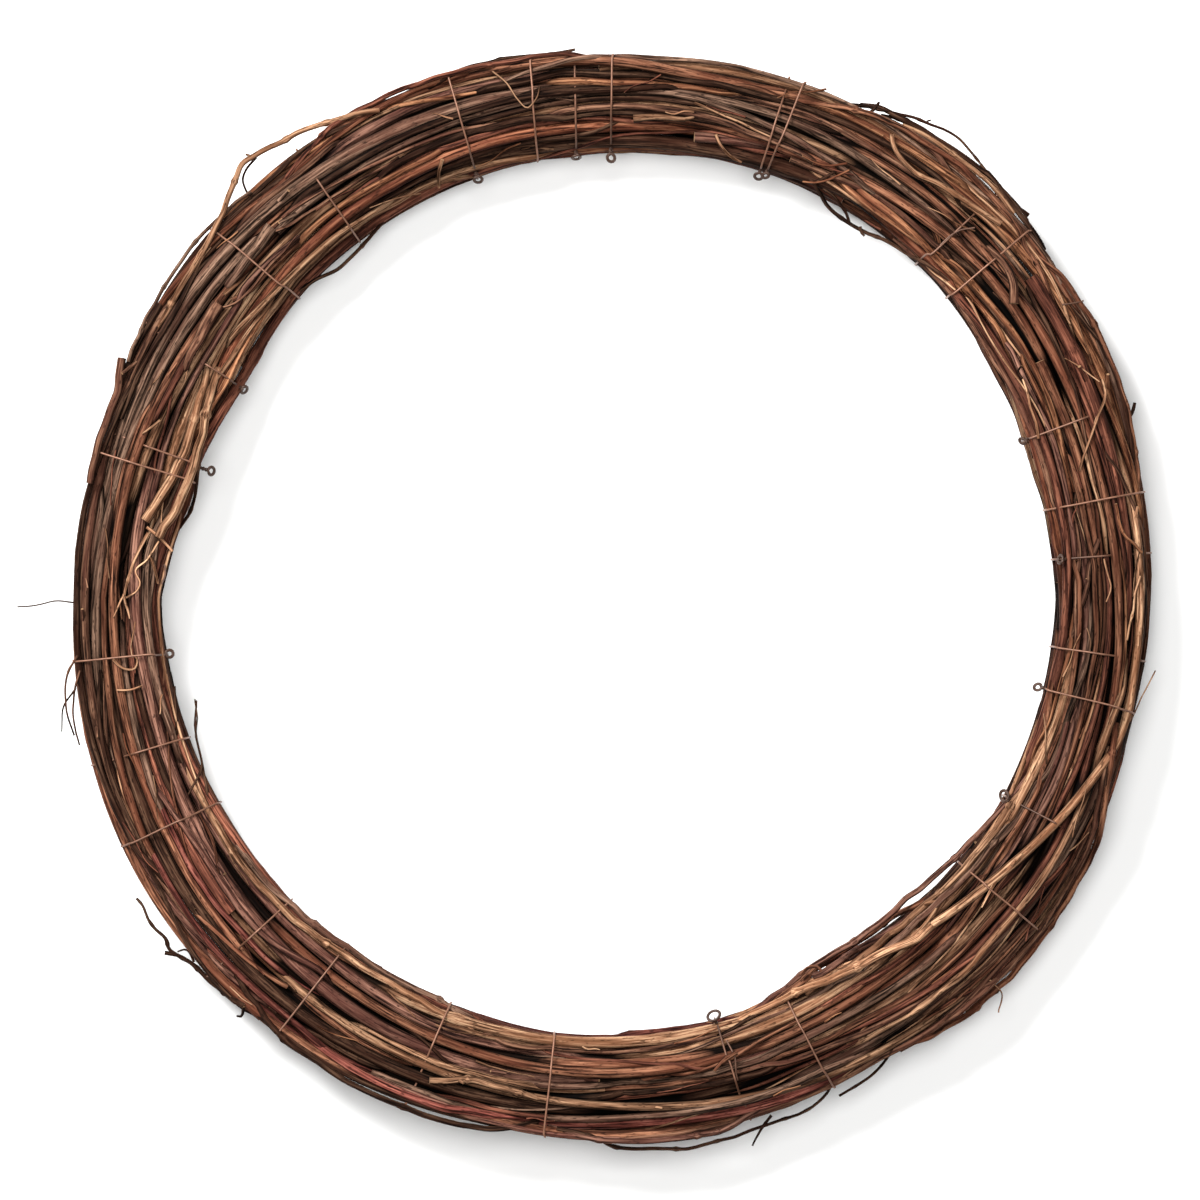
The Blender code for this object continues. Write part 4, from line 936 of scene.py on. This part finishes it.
def tie(outside, inside, eye=None, covered=0.0, size=None):
    """One wire: round the bundle and, with an eye, out along the twist, round the eye and back."""
    hoop = wire_round(outside, inside, covered)
    if not eye:
        points = np.concatenate([hoop, hoop[:2]])
        return wire_chain(points, np.full(len(points), rng.uniform(-0.2, 0.3)))
    size = size or rng.uniform(*EYE_SIZES)
    reach = np.hypot(hoop[:, 0], hoop[:, 1])
    upper = hoop[:, 2] > MIDDLE_HEIGHT + NECK_RISE
    near = upper & (reach <= eye + size + TWIST_LENGTH)
    neck_at = np.argmax(np.where(near, reach, 0)) if near.any() else np.argmin(np.where(upper, reach, 1))
    hoop = np.roll(hoop, -int(neck_at), axis=0)
    neck = hoop[0]
    inward = -around(inside, 1.0, 0.0)
    sideways = np.cross(inward, (0, 0, 1.0))
    centre = around(inside, eye, neck[2] + EYE_RISE)
    part = np.linspace(0, 1, 12)
    out = neck + np.outer(part, centre - 0.95 * size * inward - neck)
    spin = 2 * math.pi * TWIST_TURNS * part
    helix = TWIST_RADIUS * (np.outer(np.cos(spin), sideways) + np.outer(np.sin(spin), (0, 0, 1)))
    turn = np.radians(np.linspace(EYE_OPENS, -EYE_OPENS - 360 * (EYE_TURNS - 1), EYE_STEPS * EYE_TURNS))
    ring = size + 2 * WIRE_RADIUS * np.linspace(-0.5, 0.5, len(turn))[:, None]
    tilt = rng.uniform(*EYE_TILTS)
    down = inward * tilt + np.array((0, 0, -1)) * math.sqrt(1 - tilt ** 2)
    across = sideways + rng.uniform(-0.3, 0.3) * inward + np.array((0, 0, rng.uniform(-0.3, 0.3)))
    loop = centre + ring * (np.outer(np.cos(turn), down) * 1.08 + np.outer(np.sin(turn), across))
    points = np.concatenate([hoop[1:], (out - helix)[1:], loop, (out + helix)[::-1][:-1]])
    tone = np.concatenate([np.full(len(hoop) - 1, HOOP_TONE), np.full(len(points) - len(hoop) + 1, EYE_TONE)])
    tone[len(hoop) - 9:len(hoop) - 1] = np.linspace(HOOP_TONE, TWIST_TONE, 8)
    tone[:6] = np.linspace(TWIST_TONE, HOOP_TONE, 6)
    return wire_chain(points, tone)


def wind_wire(name, chains):
    piece = wind(name, chains, wire_tree, wire_inputs, {
        "Ring spacing": WIRE_RINGS, "Sides": WIRE_SIDES, "Wire": wire_look})
    return piece


for number, row in enumerate(TIES, 1):
    node = f"wire_tie_{number:02d}"
    wire = wind_wire("dressed_" + node, [tie(*row)])
    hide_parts(node)
wind_wire("more_wire_ties", [tie(*row) for row in MORE_TIES])

# The loose twigs, curls and tails
# Snapped shoots, tendrils and strips of bark that hang on the face and the edges of the ring. They grew on
# the canes or were peeled by the winding, and lie where they fell; one wire tail sticks out at the left.
# Twig: bark, places, thickness at the start and at the end, tone, lift of each end, buds, how deep it is sunk
TWIGS = [
    ("light_brown", [-98, 204, -106, 203, -115.1, 201, -132.7, 194.9, -138.2, 191.5, -150.4, 185.2,
     -155.8, 181.4, -157.9, 175.1, -161.3, 167.6, -164.2, 159.6, -169.7, 148.3, -173, 142.8, -177.2, 136.1,
     -181.5, 128.6, -186, 121.2, -190.6, 113.6, -195, 105.3], 2.3, 2.7, 0.35, (0, -5), 5),
    ("light_brown", [-151.6, 184.6, -153.4, 186.2, -154.4, 186.4], 1.4, 0.9, -0.2),
    ("dark", [-149.6, 184.6, -154.1, 179.3, -155.4, 174.9, -154.6, 171.8, -152, 168], 1.1, 0.9, -0.3),
    ("olive_grey", [-151, 170, -161.7, 163, -170.1, 154.6, -177.2, 146.6, -182.7, 139, -187.3, 131.5,
     -193.2, 121.4, -198.7, 110.5, -203, 99], 1.6, 1.7, 0, (0, 0), 4),
    ("tan", [204.5, 91.5, 205.8, 85.7, 202, 74.8, 194.9, 53.3], 1.2, 1, 0.4, (1, 0), 1),
    ("tan", [178, 66.4, 174.7, 80, 170.9, 91.6], 1.3, 1, 0.5),
    ("dark", [170.9, 91.6, 168.6, 94.6, 170.2, 96.8], 1.2, 0.8, 0, (0, 1)),
    ("orange_brown", [209.6, 39.1, 213.8, 25.6, 217.1, 23.1, 220.9, 18.9], 1.3, 1.4, 0.5, (1, 0), 1),
    ("tan", [204.5, 16, 207.5, 2.5, 205.8, -1.7], 1, 0.7, 0.3, (0, 1)),
    ("tan", [220.3, 8.8, 217, -6, 214.6, -17.6], 1.3, 1, 0.4, (0, 0), 1),
    ("dark", [217, 76, 218.8, 79.4, 219.2, 82], 1.8, 1.4, 0),
    ("light_brown", [-189.4, 74.5, -193, 71.5, -196.6, 68.9], 1.3, 1, 0.3, (1, 0)),
    ("tan", [-194.9, 29.8, -191.4, 26.6, -184.4, 19.5], 1.7, 1, 0.6, (0, 1.5)),
    ("tan", [-190.1, 23.5, -194.6, 15.7, -199.7, 11.2, -197.5, 5.9, -199.1, 2.9, -203.6, 0], 1, 0.8, 0.6,
     (0, 1)),
    ("tan", [-194.3, 27.3, -200.3, 14.4, -203.3, 6, -204.5, 1.5, -202.3, -8.8], 1.6, 1.1, 0.4, (0, 0), 1),
    ("tan", [-204.5, 1.7, -206.8, -3, -208.7, -8], 1, 0.7, 0.6, (0, 1.5)),
    ("tan", [-193.3, 17, -191.5, 11, -190.1, 6], 1.4, 1, 0.3),
    ("grey_brown", [-224, -23.7, -228.4, -32, -229.2, -44.6, -225, -58], 1, 0.8, 0.1, (0, 0), 1),
    ("dark", [-225, -38, -230.6, -48, -231, -56], 0.9, 0.6, 0.2),
    ("grey_brown", [-223, -30, -227, -46, -224, -62], 1, 0.8, 0.3),
    ("grey_brown", [-205.3, 100.1, -207.2, 89.1, -210.4, 78.8, -213, 70.5, -216.2, 60.9, -219, 48], 3.7, 3,
     0.2),
    ("violet_brown", [176.2, -71.2, 163.7, -87, 155.9, -95.6, 149.5, -102.4, 136.8, -114.8, 119.4, -129,
     106.8, -139.7, 98.1, -145.5, 88.9, -151, 80.2, -157.4, 69.6, -165.6, 54.1, -176.9], 2.4, 2.8, 0.1,
     (-5, -5), 4),
    ("dark", [-178, -84, -172.2, -70.1, -174.7, -57.5, -174.3, -49.1, -174.7, -42.8], 1, 0.6, 0, (-4, 0), 2),
    ("tan", [-169.3, 95.8, -174.5, 78, -180.8, 58, -187.5, 45.5, -195.4, 32.3], 3.4, 4.8, 0.1, (-4, 0), 1),
    ("tan", [-165.5, 96, -169.8, 78, -174.2, 58, -179.1, 44.5, -184, 34, -189.7, 25.7], 3.4, 4, -0.05,
     (-4, 0), 1),
    ("tan", [-209.1, -25.3, -206.4, -28.1, -203.6, -29.9, -199.9, -29.9, -198.7, -24.9, -200.3, -23.6], 1.3,
     0.9, 0.3, (0, 1)),
    ("tan", [-207.2, -38.8, -201.7, -38.6, -196.8, -36.7], 0.9, 0.8, 0.6),
    ("brown", [132.3, -126, 123.9, -130.6, 117.2, -134.8, 110.5, -139.9, 105.4, -143.6, 98.7, -147.8,
     91.9, -151.6, 85.2, -155.6, 79.4, -160.2, 73.5, -165.2, 66.8, -169.6], 2.4, 2.8, 0.1, (-4, -4), 2),
    ("violet_brown", [128.9, -131, 120.5, -137.3, 109.6, -143.6, 99.5, -149.5, 90.3, -154.6, 83.6, -157.9],
     2.6, 3, 0.3, (-4, -3), 2),
    ("tan", [133.1, -137.3, 128.1, -140.3, 123.9, -142.8, 115.5, -146.6, 106.3, -152, 95.3, -157.1,
     84.3, -161.6, 72, -167.4, 62.3, -172.4, 52.4, -177.2], 4.2, 2.6, 0.7, (-4, -4), 2),
    ("tan", [-181.4, -66, -167.5, -92.8, -152.5, -114.9, -134, -134, -112.8, -149.7, -90.4, -163.1,
     -67.6, -176, -46.2, -185.3], 3.2, 3, 0.1, (-5, -5), 3, 1.8),
    ("olive_grey", [-171.7, -80, -158, -102.6, -141.4, -122.9, -121.4, -139.6, -100, -154, -77.8, -166.8,
     -57.5, -176.9], 2.8, 3, 0.45, (-5, -5), 3, 1.6),
    ("brown", [51.2, -189.8, 45.8, -192.8, 42.4, -197], 2.2, 1.4, 0.1, (0, 1), 1),
    ("brown", [78.5, -158.3, 81, -155, 84.8, -154.1, 87.8, -157.1], 1.6, 1.2, 0.1),
    ("tan", [116.7, 193.9, 117.2, 189.8, 120.2, 184, 126.1, 178.6, 136.7, 172.7, 146.7, 166.3, 162.1, 156.8],
     2, 2.6, 0.1, (0, 0), 2),
    ("orange_brown", [98.4, 178.6, 90.7, 175.1, 83.7, 174, 79, 174.7], 1, 0.8, 0.4, (0, 1)),
    ("orange_brown", [98.4, 181.2, 87.8, 181.2, 79, 184.5], 1, 0.8, 0.3, (0, 1)),
    ("dark", [107, 202.5, 109.8, 205.3, 111.8, 207.6], 1.7, 1.1, 0),
    ("tan", [158, -160, 163, -168, 162.1, -173.9], 0.7, 0.6, 0.5, (0, 1)),
    ("dark", [104, 207, 113.4, 205, 119.7, 201.6, 130.6, 195.3, 140.3, 189.4, 152, 181.4, 156.7, 177.7,
     164, 169.3, 171.3, 160.6, 176, 153.3, 180, 146], 2.2, 2.4, 0.1, (-5, -5), 2),
    ("tan", [122, 198, 131.2, 193.4, 142.3, 186.2, 152, 178, 161.6, 169.8, 168, 161], 2, 2.2, 0, (-4, -4),
     2),
    ("brown", [210, -52, 208.5, -68, 206, -82, 204.3, -94, 203, -102.5, 197.5, -114, 189.5, -127.5,
     181.5, -140, 172, -153.5, 160, -165.2, 147.5, -175.4, 134, -183, 120, -189], 3, 2.6, 0.1, (-5, -5), 3),
    ("grey_brown", [207, -62, 204.5, -76, 202.8, -88, 201, -98, 196, -111, 188.5, -124, 180, -137.5,
     170, -150.5, 158, -162, 144, -174, 130, -183], 2.4, 2.6, 0.1, (-5, -5), 3),
    ("light_brown", [203, -103, 197, -115.5, 189, -129, 180.8, -141.6, 171, -154.8, 160, -165.5, 148, -174],
     1.8, 2, 0, (-4, -4), 2),
    ("tan", [228.2, -30, 223.4, -39.4, 217, -52], 0.6, 0.6, 0.5),
    ("brown", [170.6, 148.3, 186.5, 135.5, 198.4, 119.2, 209.2, 97.5, 216.4, 76.6, 219.7, 58.9, 219.6, 38.7],
     2.4, 2, 0, (-5, -5), 2),
    ("dark", [190.4, 123.6, 203.3, 108.1, 211.5, 89.8, 215.6, 74.2, 217.3, 58.2], 1.8, 1.6, 0.2, (-4, -4),
     1),
    ("brown", [75.9, 208.6, 107.5, 202.2, 129.3, 191.8, 149, 177.6, 162.9, 162.9, 173.9, 145.9, 184, 124.1],
     2.6, 2.2, 0.1, (-5, -5), 2),
    ("red_brown", [-137.3, 175.7, -118.5, 197.1, -97.5, 209, -70.9, 218.2, -43.7, 224.6, -19.9, 227.1,
     3.9, 223], 2.4, 2, 0, (-5, -5), 2),
    ("dark", [-77.5, 212.8, -59.5, 222, -39.9, 226.1, -26, 227.8, -16.1, 229.8], 1.8, 1.2, 0.1, (-4, 0), 3),
    ("dark", [-30.9, -219.8, -55.3, -221.8, -78.7, -216.1, -101, -207, -122, -195.2, -143.8, -177.6,
     -157.7, -157.7], 2.4, 2.6, 0.2, (-5, -5), 2),
    ("violet_brown", [68.3, -210.2, 43.4, -223.4, 19.9, -226.9, -4, -226.6, -27.2, -221.3], 2.6, 2.2, 0.1,
     (-5, -5), 2),
    ("grey_brown", [208, -64, 205.2, -82.4, 202.8, -103.3, 193.7, -121, 180, -140.6, 163.3, -157.7,
     142.1, -169.3], 2.4, 2.2, 0, (-5, -5), 2),
    ("grey_brown", [-179.2, 95.3, -173, 108.1, -168.2, 116.9, -164.8, 122.9], 3.2, 6, 0.45, (-4, 0)),
    ("grey_brown", [-163.8, 121.6, -158.5, 122.9, -152.4, 127.9, -144.6, 137.3, -131.9, 151.7], 1.2, 0.8,
     0.5),
    ("olive_grey", [-161.3, 130.6, -153.6, 140.8, -146.8, 149.4, -142.8, 154.8], 3.6, 6, 0.45, (-4, 0)),
    ("grey_brown", [-141.9, 153.2, -134, 156.9, -123.3, 163.6, -108.3, 173.3, -89.7, 183.9], 1.5, 1.3, 0.2,
     (0, -3)),
    ("grey_brown", [157.2, 146.6, 164.4, 137.9, 167.1, 131.5, 167.4, 126.1, 167.5, 122.6], 3, 4.2, 0.4,
     (-4, 1)),
    ("light_brown", [80.7, -165.4, 102.1, -151.3, 122.5, -136, 141.3, -118.6, 158.6, -99.1, 173.6, -77.3],
     2.8, 3.4, 0.25, (-5, -5), 3),
    ("olive_grey", [76, -171.5, 90.4, -163.1, 111.6, -148.1, 131.5, -131.5, 150.1, -113.1, 167.1, -92.6],
     2.6, 3.2, 0.55, (-5, -5), 2),
    ("tan", [122.9, -135.5, 128.3, -130.5, 132.7, -127.2, 135.2, -126.5, 135.1, -129.1, 131.8, -134.1,
     128, -138.2, 122.5, -143.4], 1.6, 1.5, 0.3, (-1, -1)),
    ("light_brown", [-50.4, 220.1, -44.9, 215.5, -39.9, 207.9, -36.1, 204.5, -32.8, 207.9, -30.5, 213.4],
     0.9, 0.7, -0.1, (-1, 0)),
    ("tan", [-71.4, 183.5, -72.6, 178, -72.9, 171.4], 1.6, 1.2, 0.3, (1, 0)),
    ("light_brown", [34.1, 206.7, 50, 199.8, 66.2, 192.4], 1.3, 1, 0.2),
    ("light_brown", [8.5, 200.3, 17.6, 200.6, 26, 200.2, 33.5, 200.6], 3.8, 1.6, 0, (0, -1)),
    ("tan", [42.8, 193.6, 44.6, 189.6, 48.2, 185.6, 54, 182.4], 1.6, 1, 0.5, (1, 0)),
    ("light_brown", [-29.5, -209.9, -48.9, -203.8, -60.1, -201.4, -68.7, -201.8, -76.6, -201.5], 3.2, 3, 0.2,
     (-4, 1), 2),
]
twig_chains = {}
for bark, *row in TWIGS:
    twig_chains.setdefault(bark, []).append(loose(*row))

# Peeled strips: bark torn loose for a little way, lying slantwise over the canes with one end standing up
STRIPS = 54
STRIP_BARKS = ("tan", "light_brown", "orange_brown", "red_brown")
STRIP_LENGTHS = (7, 26)
STRIP_SLANT = 0.24
STRIP_MARKS = (-0.5, -0.15, 0.2, 0.5)
STRIP_WANDER = 0.4
STRIP_THICK = (0.6, 1.1)
STRIP_TIP = 0.45
STRIP_TONES = (-0.1, 0.6)
STRIP_LIFT = 1.6
for strip in range(STRIPS):
    bark = STRIP_BARKS[int(rng.integers(len(STRIP_BARKS)))]
    angle = math.radians(360 * (strip + rng.uniform(0, 1)) / STRIPS)
    slot = round(math.degrees(angle) / SLOT_STEP) % SLOTS
    share = rng.uniform(*LANES)
    reach = 1000 * (bundle_inner[slot] + share * (bundle_outer[slot] - bundle_inner[slot]))
    length, slant = rng.uniform(*STRIP_LENGTHS), rng.normal(0, STRIP_SLANT)
    places = [
        (reach + slant * length * part + rng.normal(0, STRIP_WANDER)) * side(angle + length * part / reach)
        for part in STRIP_MARKS for side in (math.cos, math.sin)]
    twig_chains.setdefault(bark, []).append(loose(
        places, rng.uniform(*STRIP_THICK), STRIP_TIP, rng.uniform(*STRIP_TONES),
        (0, rng.uniform(0, STRIP_LIFT))))
for bark, chains in twig_chains.items():
    wind_cane("loose_twigs_" + bark, chains, bark, LOOSE_RINGS, LOOSE_SIDES)

# The wire tail at the left, then short ends of wire on the face
TAIL_THICK = 0.75
TAIL_TONE, SHORT_TONE = -0.95, -0.5
TAIL_DROP = (-9, 0)
WIRE_BITS = [
    [-221, -2.4, -223.5, -2, -226, -1.7, -232.3, -1.3, -238.6, -2.5, -244.9, -3.4, -249.4, -3.6],
    [-188.2, 14.4, -187.5, 9.7, -188.8, 5.9], [48.3, -184.8, 50.8, -193.2, 52.5, -201.2],
    [136.7, 146.7, 140.9, 150.9, 146.2, 154.4, 150.8, 155], [187.8, 122.4, 192, 123.4, 196.8, 124.9],
]
tail, *short_ends = WIRE_BITS
wind_wire("loose_wire_bits", [loose(tail, TAIL_THICK, TAIL_THICK, TAIL_TONE, TAIL_DROP)] + [
    loose(places, TAIL_THICK, TAIL_THICK, SHORT_TONE) for places in short_ends])

# The bench, lights and camera
# A plain white bench under an even studio tent, with two large soft lights: one from the upper left, one
# overhead. A long lens looks straight down at the wreath as in the photograph.
FRAME_WIDTH = 0.504
LENS_HEIGHT = 3.2
CAMERA_PLACE = (-0.00546, -0.00084)
SENSOR_WIDTH = 36
BENCH_HALF = 3
TENT_LIGHT = 0.18
bench_mesh = bpy.data.meshes.new("bench")
bench_mesh.from_pydata([(x * BENCH_HALF, y * BENCH_HALF, 0) for x, y in ((-1, -1), (1, -1), (1, 1), (-1, 1))],
                       [], [(0, 1, 2, 3)])
bench = placed("bench", bench_mesh)
paper, tree, shader = new_look("white background paper")
place = add(tree, "TexCoord").outputs["Object"]
paper_grain = add(tree, "TexNoise", {"Vector": place, "Scale": 300.0})
paper_bump = add(tree, "Bump", {"Strength": 0.05, "Distance": 0.0001, "Height": paper_grain})
feed(tree, shader, {"Base Color": linear("#f7f7f6"), "Roughness": 0.95, "Normal": paper_bump})
bench_mesh.materials.append(paper)

tent = bpy.data.worlds.new("studio tent")
bpy.context.scene.world = tent
tent.use_nodes = True
feed(tent.node_tree, tent.node_tree.nodes["Background"], {"Color": (1, 1, 1, 1), "Strength": TENT_LIGHT})

for name, place, size, power in (("soft box beyond the upper left", (-1.05, 1.25, 1.5), 0.9, 98),
                                 ("soft box overhead", (0.0, 0.1, 2.3), 1.6, 50)):
    lamp_data = bpy.data.lights.new(name, "AREA")
    lamp_data.shape = "DISK"
    lamp_data.size = size
    lamp_data.energy = power
    lamp = placed(name, lamp_data)
    lamp.location = place
    lamp.rotation_euler = Vector(place).to_track_quat("Z", "Y").to_euler()

camera_data = bpy.data.cameras.new("camera")
camera_data.sensor_width = SENSOR_WIDTH
camera_data.lens = SENSOR_WIDTH * LENS_HEIGHT / FRAME_WIDTH
camera_data.clip_end = 20
camera = placed("camera", camera_data)
camera.location = (*CAMERA_PLACE, MIDDLE_HEIGHT + LENS_HEIGHT)
bpy.context.scene.camera = camera
bpy.context.scene.view_settings.view_transform = "Standard"
